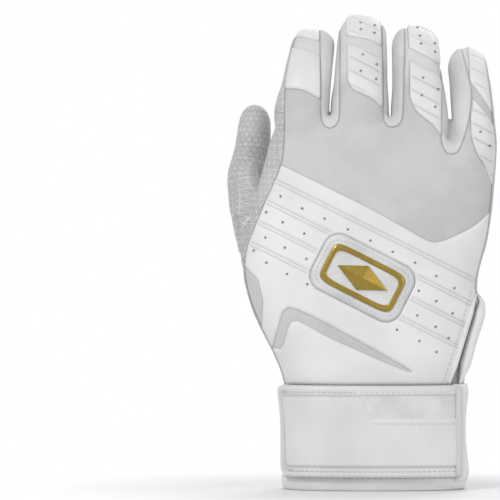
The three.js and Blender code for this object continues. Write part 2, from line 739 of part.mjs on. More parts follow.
const hand = new THREE.Group();
add(hand, 'palm_leather', heelCut.rest, LEATHER);
add(hand, 'thenar_patch', thenarCut.panel, LEATHER);
add(hand, 'heel_panel', heelCut.panel, LEATHER);
add(hand, 'knuckle_panel', knuckleCut.panel, GREY);
add(hand, 'back_panel', flexCut.rest, WHITE);
add(hand, 'flex_inlay', flexCut.panel, GREY);
add(hand, 'side_inlay', sideCut.panel, GREY);
add(hand, 'badge_base', badgeBase, RUBBER);
add(hand, 'badge_plate', badgePlate, GOLD);
add(hand, 'vent_gusset', ventCut.panel, DARK);
add(hand, 'vent_binding', ventBinding, WHITE);
add(hand, 'hem_binding', hem, WHITE);
add(hand, 'wristband_elastic', elastic, KNIT);
add(hand, 'cuff_underlap', underlap, WHITE);
add(hand, 'strap_gusset', gusset, KNIT);
add(hand, 'loop_patch', loopPatch, DARK);
add(hand, 'thumb_base', thumbBase, LEATHER);
for (let i = 0; i + 1 < FINGERS.length; i += 1) {
  const [left, right] = [FINGERS[i], FINGERS[i + 1]];
  add(hand, `web_${left.name}_${right.name}`, web(left, right), GREY);
}
glove.add(hand);

const strap = new THREE.Group();
add(strap, 'strap_backing', backing, WHITE);
add(strap, 'strap_face', windowCut.rest, WHITE);
add(strap, 'strap_window', windowCut.panel, RUBBER);
add(strap, 'hook_patch', hookPatch, DARK);
glove.add(strap);

const FINGER_FINISH = {
  front: LEATHER,
  back: GREY,
  tip_cap: WHITE,
  knuckle_pad: WHITE,
  radial_fourchette: GREY,
  ulnar_fourchette: GREY,
};
for (const finger of FINGERS) {
  const digit = new THREE.Group();
  digit.position.set(finger.x, 0, finger.z);
  digit.rotation.y = radians(finger.lean);
  for (const [piece, solid] of Object.entries(fingerPieces(finger))) {
    add(digit, `${finger.name}_${piece}`, solid, FINGER_FINISH[piece]);
  }
  glove.add(digit);
}

const thumb = new THREE.Group();
add(thumb, 'thumb_front', thumbPanel(THUMB_SEAM, 360 - THUMB_SEAM), LEATHER);
add(thumb, 'thumb_back', thumbPanel(-THUMB_SEAM, THUMB_SEAM), LEATHER);
add(thumb, 'thumb_tip', thumbTip, LEATHER);
glove.add(thumb);

// The origin is the middle of the glove's box, on the surface that the hem stands on.
const middle = new THREE.Box3().setFromObject(glove).getCenter(new THREE.Vector3());
glove.position.set(-middle.x, -middle.y, 0);
glove.updateMatrixWorld(true);

export default glove;
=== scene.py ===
"""Dressed batting glove: one sewn skin carved into panels, with its closure, stitching and badge."""

import math

import bpy
import numpy as np
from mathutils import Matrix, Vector, noise
from mathutils.bvhtree import BVHTree

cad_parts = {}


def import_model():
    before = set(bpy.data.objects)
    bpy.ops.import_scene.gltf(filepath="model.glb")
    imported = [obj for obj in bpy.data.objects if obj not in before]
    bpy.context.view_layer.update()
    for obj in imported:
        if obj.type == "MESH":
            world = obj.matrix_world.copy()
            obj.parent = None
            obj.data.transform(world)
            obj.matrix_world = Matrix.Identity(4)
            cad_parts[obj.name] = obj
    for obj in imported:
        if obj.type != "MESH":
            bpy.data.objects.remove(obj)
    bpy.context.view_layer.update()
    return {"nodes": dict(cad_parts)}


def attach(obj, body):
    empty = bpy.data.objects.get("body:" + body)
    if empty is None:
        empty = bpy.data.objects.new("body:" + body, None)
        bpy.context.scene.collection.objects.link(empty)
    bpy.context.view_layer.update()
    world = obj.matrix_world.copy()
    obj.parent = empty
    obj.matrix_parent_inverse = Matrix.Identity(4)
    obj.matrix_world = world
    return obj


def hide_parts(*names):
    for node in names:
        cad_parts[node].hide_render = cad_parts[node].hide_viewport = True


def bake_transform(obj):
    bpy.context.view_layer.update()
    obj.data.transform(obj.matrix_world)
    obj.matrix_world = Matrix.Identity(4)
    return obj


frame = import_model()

# Lengths are in millimetres round the hand's own middle line, and become metres in the CAD frame at the end
MM = 0.001
ORIGIN = np.array([0.836, -1.741, 0.0])

# Skin
VOXEL = 0.9
SKIN_INSET = 0.2
SKIN_FOOT = 5.0
TAUBIN = (0.5, -0.52)
SMOOTH_ROUNDS = 30
KNUCKLE_FACTORS = (0.6,)
KNUCKLE_ROUNDS = 40
KNUCKLE_RISE = (-26, -12)
KNUCKLE_FALL = (9, 1)
KNUCKLE_DEPTH = (3, 9)
ROOT_LINE = ([30, 42], [164, 153])
ROUNDING = 0.375

# Hand
HAND_SQUARENESS = 2.6
CUFF_HEIGHT = 47.0
KNUCKLE_HEIGHT = 166.0
HEM_HEIGHT = 8.0
PALM_EDGE = 38.6
HAND_DOME = 14.0
HAND_FOOT = -3.0
RING_STEP = 4.0
DOME_TAPER = 0.05
LITTLE_DROP = 12.0
DROP_START = 128.0
DROP_SIDES = [(32, 40), (57, 47)]

# Fingers
FINGER_CURL = math.radians(70)
FINGER_DEPTH = 26.0
FINGERTIP_DEPTH = 19.0
FINGER_DOME = 9.0
FINGER_SQUARENESS = 2.5
TIP_SQUARENESS = 2.1
FINGERS = {
    "index": dict(x=-27.7, z=167.0, width=22.2, tip=19.5, length=45.7, lean=10.5, cut=170.0, flare=0.7),
    "middle": dict(x=-1.2, z=167.5, width=23.8, tip=20.5, length=53.0, lean=2.5, cut=170.0, flare=0.7),
    "ring": dict(x=25.8, z=165.5, width=23.2, tip=19.5, length=49.0, lean=-2.0, cut=168.5, flare=0.7),
    "little": dict(x=50.9, z=155.0, width=18.8, tip=16.5, length=50.0, lean=-3.8, cut=156.5, flare=0.0),
}
NAMES = list(FINGERS)
FLARE_SPAN = (18, 2)
ROOT_DEPTH = 20.0
ROOT_STRAIGHT = 4.0
ROOT_TAPER = 0.6
DOME_ANGLES = np.linspace(0.15, 1.53, 9)
WEB_DEPTH = 9.5
WEB_HEIGHT = 13.0
INDEX_LIMIT = [(160, -14.9), (176, -15.0), (190, -13.9), (205, -12.4), (216, -12.0)]
CROTCHES = [167.9, 166.0, 154.0]

# Thumb
THUMB_POINTS = [(-39, 1.5, 86), (-51.4, 17, 136), (-49.2, 21, 152), (-47.6, 24, 173)]
THUMB_WIDTH = [(0, 11.0), (0.5, 9.5), (1, 7.25)]
THUMB_DEPTH = [(0, 12.0), (0.5, 11.5), (1, 9.0)]
THUMB_DOME = 9.0
THUMB_CUT = 0.6
THUMB_SEAM = 0.42
THUMB_REACH = 1.35
THUMB_BODY = 1.5
THUMB_TRACK = (-6, 2, 220)


def smooth(knots):
    """A smooth curve through (place, value) pairs, level beyond both ends."""
    place, value = np.array(knots, float).T
    count = np.arange(len(place))
    low = np.maximum(count - 1, 0)
    high = np.minimum(count + 1, len(place) - 1)
    slope = (value[high] - value[low]) / (place[high] - place[low])

    def at(x):
        x = np.clip(x, place[0], place[-1])
        i = np.clip(np.searchsorted(place, x) - 1, 0, len(place) - 2)
        span = place[i + 1] - place[i]
        t = (x - place[i]) / span
        bend = slope[i] * (1 - t) - slope[i + 1] * t
        return value[i] + (value[i + 1] - value[i]) * t * t * (3 - 2 * t) + span * t * (1 - t) * bend

    return at


def ramp(x, low, high):
    t = np.clip((x - low) / (high - low), 0, 1)
    return t * t * (3 - 2 * t)


def smooth_min(*fields, soft=1.5):
    """The least of several distances, with rounded corners."""
    result = fields[0]
    for field in fields[1:]:
        blend = np.clip(0.5 + (field - result) / (2 * soft), 0, 1)
        result = field + (result - field) * blend - soft * blend * (1 - blend)
    return result


def power(value, exponent):
    return np.sign(value) * np.abs(value) ** exponent


def rounded(turn, wide, deep, squareness):
    """A rounded section: turn 0 is the back, 90 the little-finger side and 180 the palm."""
    x = power(np.sin(np.radians(turn)), 2 / squareness) * wide
    out = power(np.cos(np.radians(turn)), 2 / squareness) * deep
    return x, out


def turn_of(x, out, wide, deep, squareness):
    return np.degrees(np.arctan2(power(x / wide, squareness / 2), power(out / deep, squareness / 2)))


def lengths_along(points):
    """Length from the first point of a line to each of its points."""
    return np.concatenate([[0], np.cumsum(np.linalg.norm(np.diff(points, axis=0), axis=1))])


def columns(*parts):
    """Rows of numbers from their columns, each an array or one number."""
    return np.stack(np.broadcast_arrays(*parts), -1)


def unit(ways):
    return ways / np.linalg.norm(ways, axis=-1, keepdims=True)


def circle(count):
    return np.linspace(0, 2 * np.pi, count, endpoint=False)


radial_edge = smooth([(0, -35), (47, -35), (84, -50.5), (103, -53), (166, -38.8)])
ulnar_edge = smooth([(0, 45.5), (47, 45.5), (64, 49.6), (79, 53.6), (91, 51.3), (101, 53.2), (115, 56.8),
                     (148, 60.2), (166, 60.2)])
hand_depth = smooth([(0, 47), (47, 47), (84, 43), (103, 40), (166, 28)])


def hand_section(z):
    middle = (radial_edge(z) + ulnar_edge(z)) / 2
    return middle, ulnar_edge(z) - middle, hand_depth(z) / 2


def hand_skin(turn, z, offset=0.0):
    middle, wide, deep = hand_section(z)
    x, out = rounded(turn, wide + offset, deep + offset, HAND_SQUARENESS)
    return columns(middle + x, -out, z)


def finger_size(finger, along):
    share = np.clip(along / finger["length"], 0, 1)
    ease = share * share * (3 - 2 * share) - share * (1 - share) * (2 * share - 1)
    wide = finger["width"] + (finger["tip"] - finger["width"]) * ease
    wide = wide + 2 * finger["flare"] * ramp(along, *FLARE_SPAN)
    deep = FINGER_DEPTH + (FINGERTIP_DEPTH - FINGER_DEPTH) * ease
    return wide / 2, deep / 2


def finger_frame(finger, points):
    """Length along a finger's bent middle line, and the distances across it and out to its back."""
    lean = math.radians(finger["lean"])
    dx, dz = points[:, 0] - finger["x"], points[:, 2] - finger["z"]
    across = dx * math.cos(lean) - dz * math.sin(lean)
    up = dx * math.sin(lean) + dz * math.cos(lean)
    y = points[:, 1]
    radius = finger["length"] / FINGER_CURL
    along = np.where(up > 0, radius * np.arctan2(up, radius - y), up)
    out = np.where(up > 0, np.hypot(y - radius, up) - radius, -y)
    return along, across, out


def finger_skin(finger, turn, along, offset):
    top = finger["length"] + offset
    into = np.clip((along - (finger["length"] - FINGER_DOME)) / (FINGER_DOME + offset), 0, 1)
    scale = np.sqrt(1 - into**2)
    wide, deep = finger_size(finger, along)
    tipward = ramp(along / finger["length"], 0.3, 0.9)
    squareness = FINGER_SQUARENESS + (TIP_SQUARENESS - FINGER_SQUARENESS) * tipward
    across, out = rounded(turn, (wide + offset) * scale, (deep + offset) * scale, squareness)
    radius = finger["length"] / FINGER_CURL
    bend = np.maximum(np.minimum(along, top), 0) / radius
    y = radius * (1 - np.cos(bend)) - out * np.cos(bend)
    up = radius * np.sin(bend) + out * np.sin(bend) + np.minimum(along, 0)
    lean = math.radians(finger["lean"])
    x = finger["x"] + across * math.cos(lean) + up * math.sin(lean)
    z = finger["z"] - across * math.sin(lean) + up * math.cos(lean)
    return columns(x, y, z)


thumb_places = lengths_along(np.array(THUMB_POINTS, float))
THUMB_LENGTH = thumb_places[-1]
thumb_line = [smooth(list(zip(thumb_places, axis))) for axis in np.array(THUMB_POINTS, float).T]
thumb_wide = smooth(THUMB_WIDTH)
thumb_deep = smooth(THUMB_DEPTH)


def thumb_axis(along):
    """Point, side, back and tangent of the thumb's middle line."""
    along = np.asarray(along, float)
    step = 0.01
    at = np.clip(along, step, THUMB_LENGTH - step)
    point, ahead, behind = (
        np.stack([line(place) for line in thumb_line], -1) for place in (at, at + step, at - step)
    )
    tangent = unit(ahead - behind)
    point = point + tangent * (along - at)[..., None]
    side = unit(np.array([1.0, 0, 0]) - tangent * tangent[..., :1])
    return point, side, np.cross(side, tangent), tangent


def thumb_skin(turn, along, offset):
    into = np.clip((along - (THUMB_LENGTH - THUMB_DOME)) / (THUMB_DOME + offset), 0, 1)
    scale = np.sqrt(1 - into**2)
    share = along / THUMB_LENGTH
    wide, deep = thumb_wide(share) + offset, thumb_deep(share) + offset
    across, out = rounded(turn, wide * scale, deep * scale, 2)
    point, side, back, _ = thumb_axis(np.broadcast_to(along, np.broadcast(turn, along).shape))
    return point + side * across[..., None] + back * out[..., None]


def thumb_frame(points):
    """Length along the thumb, across, out, and the distance from its middle line as a share of its size."""
    before, after, steps = THUMB_TRACK
    along = np.linspace(before, THUMB_LENGTH + after, steps)
    point, side, back, tangent = thumb_axis(along)
    parts = np.array_split(points, 60)
    nearest = np.concatenate([((part[:, None] - point) ** 2).sum(-1).argmin(1) for part in parts])
    delta = points - point[nearest]
    length = along[nearest] + (delta * tangent[nearest]).sum(1)
    across = (delta * side[nearest]).sum(1)
    out = (delta * back[nearest]).sum(1)
    share = length / THUMB_LENGTH
    size = np.hypot(across / thumb_wide(share), out / thumb_deep(share))
    return length, across, out, size


def past_thumb_seam(along, size):
    return (size < THUMB_REACH) & (along > THUMB_SEAM * THUMB_LENGTH)


# The skin: closed lofts of the hand, the fingers, the thumb and the webs, made into one surface
TURNS = np.arange(-180, 180, 5.0)


def ring_grid(count, around):
    """Numbers of the points on rings, with each ring's first point again at its end."""
    grid = np.arange(count * around).reshape(count, around)
    return np.concatenate([grid, grid[:, :1]], 1)


def quads(grid):
    """Faces between the neighbours of a grid of point numbers."""
    return columns(grid[:-1, :-1], grid[:-1, 1:], grid[1:, 1:], grid[1:, :-1]).reshape(-1, 4)


def tube(rings):
    """Points and faces of a closed tube through rings of points."""
    points = np.concatenate([*rings, [rings[0].mean(0), rings[-1].mean(0)]])
    grid = ring_grid(len(rings), len(rings[0]))
    faces = quads(grid).tolist()
    low, high = grid[0].tolist(), grid[-1].tolist()
    for i in range(len(rings[0])):
        faces.append([len(points) - 2, low[i + 1], low[i]])
        faces.append([len(points) - 1, high[i], high[i + 1]])
    return points, faces


def hand_rings():
    heights = np.arange(HAND_FOOT, KNUCKLE_HEIGHT - HAND_DOME, RING_STEP)
    rings = [hand_skin(TURNS, z, -SKIN_INSET) for z in heights]
    for step in np.linspace(0, 1, 9)[:-1]:
        angle = step * math.pi / 2
        z = KNUCKLE_HEIGHT - HAND_DOME + HAND_DOME * math.sin(angle)
        ring = hand_skin(TURNS, z, -SKIN_INSET)
        centre = np.array([hand_section(z)[0], 0, z])
        rings.append(centre + (ring - centre) * [1 - DOME_TAPER * step**2, math.cos(angle) ** 0.5, 1])
    for ring in rings:
        drop = ramp(ring[:, 0], *DROP_SIDES[0]) * ramp(ring[:, 0], *DROP_SIDES[1])
        ring[:, 2] -= LITTLE_DROP * drop * ramp(ring[:, 2], DROP_START, KNUCKLE_HEIGHT)
    return rings


def finger_rings(finger):
    low = np.arange(-ROOT_DEPTH, 0, 2.5)
    shaft = np.linspace(0, finger["length"] - FINGER_DOME, 12)
    dome = finger["length"] - FINGER_DOME * (1 - np.sin(DOME_ANGLES))
    rings = []
    for along in np.concatenate([low, shaft, dome]):
        ring = finger_skin(finger, TURNS, along, -SKIN_INSET)
        if along < 0:
            centre = ring.mean(0)
            size = 1 - ROOT_TAPER * ramp(-along, ROOT_STRAIGHT, ROOT_DEPTH)
            ring = [finger["x"], 0, centre[2]] + (ring - centre) * size
        elif finger is FINGERS["index"]:
            ring[:, 0] = smooth_min(ring[:, 0], smooth(INDEX_LIMIT)(ring[:, 2]), soft=1.0)
        rings.append(ring)
    return rings


def thumb_rings():
    shaft = np.linspace(0, THUMB_LENGTH - THUMB_DOME, 22)
    dome = THUMB_LENGTH - THUMB_DOME * (1 - np.sin(DOME_ANGLES))
    return [thumb_skin(TURNS, np.array(along), -SKIN_INSET) for along in np.concatenate([shaft, dome])]


def web_rings(left, right, top):
    angle = np.radians(np.arange(0, 360, 15.0))
    y = np.cos(angle) * WEB_DEPTH
    z = top - WEB_HEIGHT + np.sin(angle) * WEB_HEIGHT
    places = [left["x"] + (right["x"] - left["x"]) * share for share in np.linspace(0, 1, 5)]
    return [columns(x, y, z) for x in places]


def linked(name, data):
    """A new object in the scene."""
    made = bpy.data.objects.new(name, data)
    bpy.context.scene.collection.objects.link(made)
    return made


def remeshed(tubes):
    """One closed surface round several overlapping closed tubes."""
    points, faces, start = [], [], 0
    for part_points, part_faces in tubes:
        points.append(part_points)
        faces += [tuple(v + start for v in face) for face in part_faces]
        start += len(part_points)
    mesh = bpy.data.meshes.new("skin_source")
    mesh.from_pydata((np.concatenate(points) * MM).tolist(), [], faces)
    source = linked("skin_source", mesh)
    modifier = source.modifiers.new("remesh", "REMESH")
    modifier.mode = "VOXEL"
    modifier.voxel_size = VOXEL * MM
    bpy.context.view_layer.update()
    made = source.evaluated_get(bpy.context.evaluated_depsgraph_get()).to_mesh()
    made.calc_loop_triangles()
    points = np.zeros(len(made.vertices) * 3)
    made.vertices.foreach_get("co", points)
    triangles = np.zeros(len(made.loop_triangles) * 3, np.int64)
    made.loop_triangles.foreach_get("vertices", triangles)
    bpy.data.objects.remove(source)
    bpy.data.meshes.remove(mesh)
    return points.reshape(-1, 3) / MM, triangles.reshape(-1, 3)


def sides_of(triangles):
    """Pairs of points at the sides of triangles, the lower number first."""
    return np.sort(np.concatenate([triangles[:, [0, 1]], triangles[:, [1, 2]], triangles[:, [2, 0]]]), 1)


def relaxed(points, triangles, rounds, factors=TAUBIN, weight=None):
    """Smooths without shrinking, by steps forth and back."""
    a, b = np.unique(sides_of(triangles), axis=0).T
    size = len(points)
    count = np.bincount(np.concatenate([a, b]), minlength=size)[:, None]
    for _ in range(rounds):
        for factor in factors:
            sums = [np.bincount(a, axis[b], size) + np.bincount(b, axis[a], size) for axis in points.T]
            move = factor * (np.stack(sums, -1) / np.maximum(count, 1) - points)
            points = points + (move if weight is None else move * weight[:, None])
    return points


def normals_of(points, triangles):
    a, b, c = points[triangles[:, 0]], points[triangles[:, 1]], points[triangles[:, 2]]
    face = np.cross(b - a, c - a)
    corner = triangles.ravel()
    total = np.stack([np.bincount(corner, np.repeat(face[:, k], 3), len(points)) for k in range(3)], -1)
    return total / np.maximum(np.linalg.norm(total, axis=1, keepdims=True), 1e-12)


tubes = [tube(hand_rings()), tube(thumb_rings())]
tubes += [tube(finger_rings(finger)) for finger in FINGERS.values()]
for i, top in enumerate(CROTCHES):
    tubes.append(tube(web_rings(FINGERS[NAMES[i]], FINGERS[NAMES[i + 1]], top)))
base_points, base_triangles = remeshed(tubes)
base_points = relaxed(base_points, base_triangles, SMOOTH_ROUNDS)
above_root = base_points[:, 2] - np.interp(base_points[:, 0], *ROOT_LINE)
knuckles = ramp(above_root, *KNUCKLE_RISE) * ramp(above_root, *KNUCKLE_FALL)
knuckles *= ramp(np.abs(base_points[:, 1]), *KNUCKLE_DEPTH)
base_points = relaxed(base_points, base_triangles, KNUCKLE_ROUNDS, KNUCKLE_FACTORS, knuckles)
base_normals = normals_of(base_points, base_triangles)
if (base_normals * (base_points - base_points.mean(0))).sum() < 0:
    base_triangles = base_triangles[:, ::-1].copy()
    base_normals = -base_normals


# Outlines in the plane of the back view: distances to polygons and lines
def polygon(points):
    """Distance inside a closed outline, negative outside."""
    points = np.array(points, float)

    def at(x, z):
        best = np.full(len(x), 1e9)
        inside = np.zeros(len(x), bool)
        for (ax, az), (bx, bz) in zip(points, np.roll(points, -1, axis=0)):
            dx, dz = bx - ax, bz - az
            if dx == dz == 0:
                continue
            t = np.clip(((x - ax) * dx + (z - az) * dz) / (dx * dx + dz * dz), 0, 1)
            best = np.minimum(best, np.hypot(x - ax - t * dx, z - az - t * dz))
            crosses = (az > z) != (bz > z)
            if dz:
                inside ^= crosses & (x < ax + (z - az) * dx / dz)
        return np.where(inside, best, -best)

    return at


def rounded_line(points, per=6):
    """A curve through points, as a finer list of points."""
    points = np.array(points, float)
    place = lengths_along(points)
    fine = np.linspace(0, place[-1], per * (len(points) - 1) + 1)
    return np.stack([smooth(list(zip(place, axis)))(fine) for axis in points.T], -1)


# Seams on the back view
RADIAL_SEAM = [(45, -40), (61.2, -39.2), (73.4, -47.7), (86.9, -52.2), (103.5, -52.6), (125, -45),
               (145.4, -36.5), (156.6, -35.1), (179, -34.6), (199, -31), (215, -26)]
KNUCKLE_EDGE = [(-60, 157), (-36.5, 145.4), (-25.7, 140), (-12.2, 133.2), (1.4, 126.5), (17.1, 117.9),
                (28.4, 111.6), (33.3, 110.7), (41.9, 113.9), (50.9, 118.8), (60, 127)]
SIDE_INLAY = [(-62, 103), (-53.1, 100.4), (-46.8, 93.6), (-44.6, 84.6), (-45, 73), (-47, 66.5), (-62, 58)]
FLEX_INLAY = [(-40.2, 63.6), (-38, 72), (-35.9, 79.2), (-34, 81.3), (-31, 81.2), (-14, 73.2), (21.6, 52.6),
              (-14, 67.6), (-29.5, 75.8), (-31.6, 75.6), (-33.3, 73), (-36.4, 63.2)]
VENT = [(50.6, 86), (49.4, 83.2), (38.3, 46), (42.6, 46), (51.6, 82)]
BADGE_CENTRE = (-0.4, 94.7)
BADGE_TILT = math.radians(-27)
BADGE_SIZE = (44.0, 27.0)
GAP_LINES = [
    [(-18.9, 215), (-18.9, 200), (-18.7, 168), (-18.2, 164.4), (-16.6, 161.8), (-14.4, 161.4),
     (-12, 162.6), (-10.6, 165.4), (-10.2, 180), (-9.6, 205), (-9.6, 215)],
    [(9.4, 215), (9.2, 200), (9.2, 168), (9.5, 164.6), (11, 162.4), (13.4, 161.9), (15.8, 162.6),
     (17.4, 164.8), (18, 168), (18.6, 185), (19.4, 200), (20, 215)],
    [(35.4, 215), (35.6, 200), (35.2, 175), (35, 157), (35.6, 153.4), (37.6, 150.4), (40, 149.7),
     (42.6, 151), (44.4, 154.6), (47, 163), (49, 176), (47, 190), (44, 205), (43, 215)],
]
TIP_EDGES = {
    "index": [(-40, 204.4), (-30, 203.6), (-19, 201.2), (-10, 198)],
    "middle": [(-12, 204.2), (-6, 203.4), (4, 201.4), (9, 198.8), (12, 197)],
    "ring": [(16, 200), (21, 198), (28, 194.4), (35.5, 190), (38, 188)],
    "little": [(44, 186), (48.6, 182.2), (53, 176.4), (58.5, 168), (61, 164)],
}
PAD_TOPS = {
    "index": [(-40, 199.6), (-30.6, 198.2), (-18.9, 194.4), (-15, 193)],
    "middle": [(-9, 199.8), (-6.4, 199.4), (2, 197.6), (9, 193.6), (12, 192)],
    "ring": [(18, 193.4), (21.2, 192.4), (28, 189), (35.5, 183.6), (38, 182)],
    "little": [(44, 177), (49.9, 174.4), (54, 169.4), (58, 163), (60, 160)],
}
PAD_FEET = {
    "index": [(-40, 179.8), (-35, 179.4), (-27, 178.4), (-18.9, 174.2), (-15, 172)],
    "middle": [(-9, 187), (-6.6, 182), (-4.6, 179), (0, 176.6), (5, 174), (9.1, 170), (12, 167)],
    "ring": [(18, 178), (21, 174.6), (23.4, 169.6), (28, 165.4), (32, 162), (35.5, 157.4), (38, 154)],
    "little": [(44, 172), (47.4, 162), (48.6, 156.6), (51, 150), (54, 145.4), (56.6, 139.4), (60, 132)],
}
PAD_SIDES = {"index": (-60, -18.9), "middle": (-6.9, 8.8), "ring": (21, 35.3), "little": (48.2, 70)}

# Seams on the palm
THENAR = [(-20.4, 120.2), (-5.5, 106.2), (4.4, 94.5), (10, 84), (12, 75.6), (11.2, 64.4), (8, 55.4),
          (-1, 47.2), (-11.4, 42.8), (-44.7, 92.3), (-53, 104), (-80, 122), (-80, 128), (-42, 126.6),
          (-30, 124.4)]
HEEL = [(-11.6, 41.8), (-44.9, 91.4), (-53.4, 103), (-80, 121), (-80, 30), (-11.6, 30)]

# Perforations of the back, of the finger pads and of the palm
PERFORATIONS = [
    (-36.5, 130.9), (-27, 125.5), (-17.1, 121), (-6.8, 116.1), (3.2, 111.2), (-42.8, 123.8),
    (-35.6, 119.3), (-26.1, 114.3), (-16.2, 109.8), (-43.2, 112.5), (-34.7, 108), (-25.2, 103.1),
    (-48.2, 106.7), (-42.8, 101.3), (-33.8, 96.3), (-24.8, 91.8), (13.1, 106.2), (23, 101.3),
    (32.4, 95.4), (40.5, 90), (24.6, 88.9), (32.4, 84.2), (39.6, 78.8), (14.4, 83.3), (23.9, 77.9),
    (32, 72.9), (37.8, 67.9), (14.9, 71.6), (24.8, 66.6), (32.4, 61.7),
]
PAD_HOLES = [
    (0.2, 194.2), (6, 189.8), (-0.8, 186.8), (5.6, 183.2), (-0.4, 209.2), (-0.4, 206), (5.6, 208),
    (5.4, 204.4), (27, 183.8), (33.3, 178.8), (26.4, 176), (32, 171), (25.4, 207), (26.2, 203),
    (26.6, 199.4), (32.4, 199.8), (32.4, 195.8), (52.4, 159.8), (56.2, 153.6),
]
PALM_HOLES = [
    (-35.8, 169.4), (-39.5, 155), (-36.6, 147.8), (-34.4, 140.8), (-34, 133.6), (-28.6, 121),
    (-18.4, 124), (-7.8, 181.6), (-5, 148), (-8.6, 141), (-3.8, 133.6), (0.8, 126.2), (5.6, 119),
    (10, 111.2), (5.8, 104.2), (22.6, 172), (20.6, 165), (26.3, 158.2), (21.8, 151.4), (18.6, 144.6),
    (23.6, 137.4), (29, 130.4), (34.4, 123.2), (39.6, 116), (36, 108.6), (32.8, 101.4), (49, 178.8),
    (53, 170), (51.4, 153.6), (48.4, 149), (43.8, 143.2), (49.6, 136), (54.2, 121), (52.4, 112),
    (42.2, 56.8), (33.6, 54.4), (22.6, 53.2), (38.2, 47.4), (29, 44.8), (18.8, 44.2), (4.2, 71.4),
    (-6.2, 71.8), (-17.8, 73.4), (2.2, 61.4), (-10.4, 63), (-24.6, 65.8), (-3.4, 53.8), (-18.4, 57),
    (-11.8, 48.2), (-30.8, 75.2),
]
HOLE_RADIUS = 0.62
PALM_HOLE_RADIUS = 0.5
HOLE_MARGIN = 0.6

# Edges of the leather: where it starts in front of a finger's middle, and how it wraps the outer sides
FRONT_START = 8.3
FRONT_TAPER = 2.3
TIP_START = 9.0
TIP_TURN = (0.70, 0.93)
WRAP_SPAN = (0.6, 0.1)
CROTCH_LINE = ([-20, 30, 42, 60], [167, 166, 154, 154])
CROTCH_SPAN = (16, 3)
SIDE_TOP = 150.0
RADIAL_INSET = 0.8
ULNAR_INSET = 1.2
LITTLE_INSET = 1.3
LITTLE_SPAN = (-12, 6)
CUFF_SEAM = 0.4
THENAR_DEPTH = 5.0
HEEL_DEPTH = -4.0
FINGER_FLOOR = 135.0
PAD_FLOOR = 130.0
# Shares that turn heights above slanting seams into distances from them
TIP_SLANT = 0.85
FOOT_SLANT = 0.8
KNUCKLE_SLANT = 0.88
# The thumb's root, as a length along it and a share of its size, and the field inside the thumb
THUMB_ROOT = 30.0
ROOT_SIZE = 1.2
ROOT_SLOPE = 8.0
THUMB_FIELD = 6.0
THUMB_PALM = -40.0
# Values of a field outside its panel, and far outside it
OUTSIDE = -9.0
FAR_OUT = -99.0


def carve(points, triangles, fields, facts):
    """Splits the triangles along the zero line of each field in turn."""
    arrays = {"co": points, **fields, **facts}
    for name in fields:
        f = arrays[name]
        inside = f[triangles] > 0
        count = inside.sum(1)
        mixed = (count == 1) | (count == 2)
        if not mixed.any():
            continue
        split, side = triangles[mixed], inside[mixed]
        lone = np.where(count[mixed] == 1, side.argmax(1), (~side).argmax(1))
        rows = np.arange(len(split))
        a, b, c = (split[rows, (lone + k) % 3] for k in range(3))
        pairs = np.sort(np.concatenate([columns(a, b), columns(a, c)]), 1)
        unique, place = np.unique(pairs, axis=0, return_inverse=True)
        place = place.ravel() + len(f)
        low, high = unique.T
        share = f[low] / (f[low] - f[high])
        for key, value in arrays.items():
            t = share[:, None] if value.ndim > 1 else share
            arrays[key] = np.concatenate([value, value[low] * (1 - t) + value[high] * t])
        arrays[name][len(f):] = 0
        p, q = place[: len(split)], place[len(split):]
        parts = [columns(a, p, q), columns(p, b, c), columns(p, c, q)]
        triangles = np.concatenate([triangles[~mixed], *parts])
    return arrays, triangles


def refine(points, normals, triangles, chosen):
    """Halves the edges of chosen triangles, with the new points on the rounded surface."""
    unique, place = np.unique(sides_of(triangles), axis=0, return_inverse=True)
    place = place.ravel().reshape(3, -1).T
    marked = np.zeros(len(unique), bool)
    marked[place[chosen].ravel()] = True
    low, high = unique[marked].T
    middle = (points[low] + points[high]) / 2
    for end in (low, high):
        middle += ROUNDING * ((points[end] - middle) * normals[end]).sum(1)[:, None] * normals[end]
    number = np.full(len(unique), -1)
    number[marked] = len(points) + np.arange(marked.sum())
    points = np.concatenate([points, middle])
    mid = number[place]
    count = (mid >= 0).sum(1)
    result = [triangles[count == 0]]
    (a, b, c), (ab, bc, ca) = triangles[count == 3].T, mid[count == 3].T
    result += [columns(a, ab, ca), columns(ab, b, bc), columns(ca, bc, c), columns(ab, bc, ca)]
    for k in range(3):
        following, last = (k + 1) % 3, (k + 2) % 3
        one = (count == 1) & (mid[:, k] >= 0)
        a, b, c = triangles[one][:, [k, following, last]].T
        m = mid[one, k]
        result += [columns(a, m, c), columns(m, b, c)]
        two = (count == 2) & (mid[:, k] < 0)
        a, b, c = triangles[two][:, [k, following, last]].T
        p, q = mid[two, following], mid[two, last]
        result += [columns(a, b, p), columns(a, p, q), columns(q, p, c)]
    return points, np.concatenate(result)


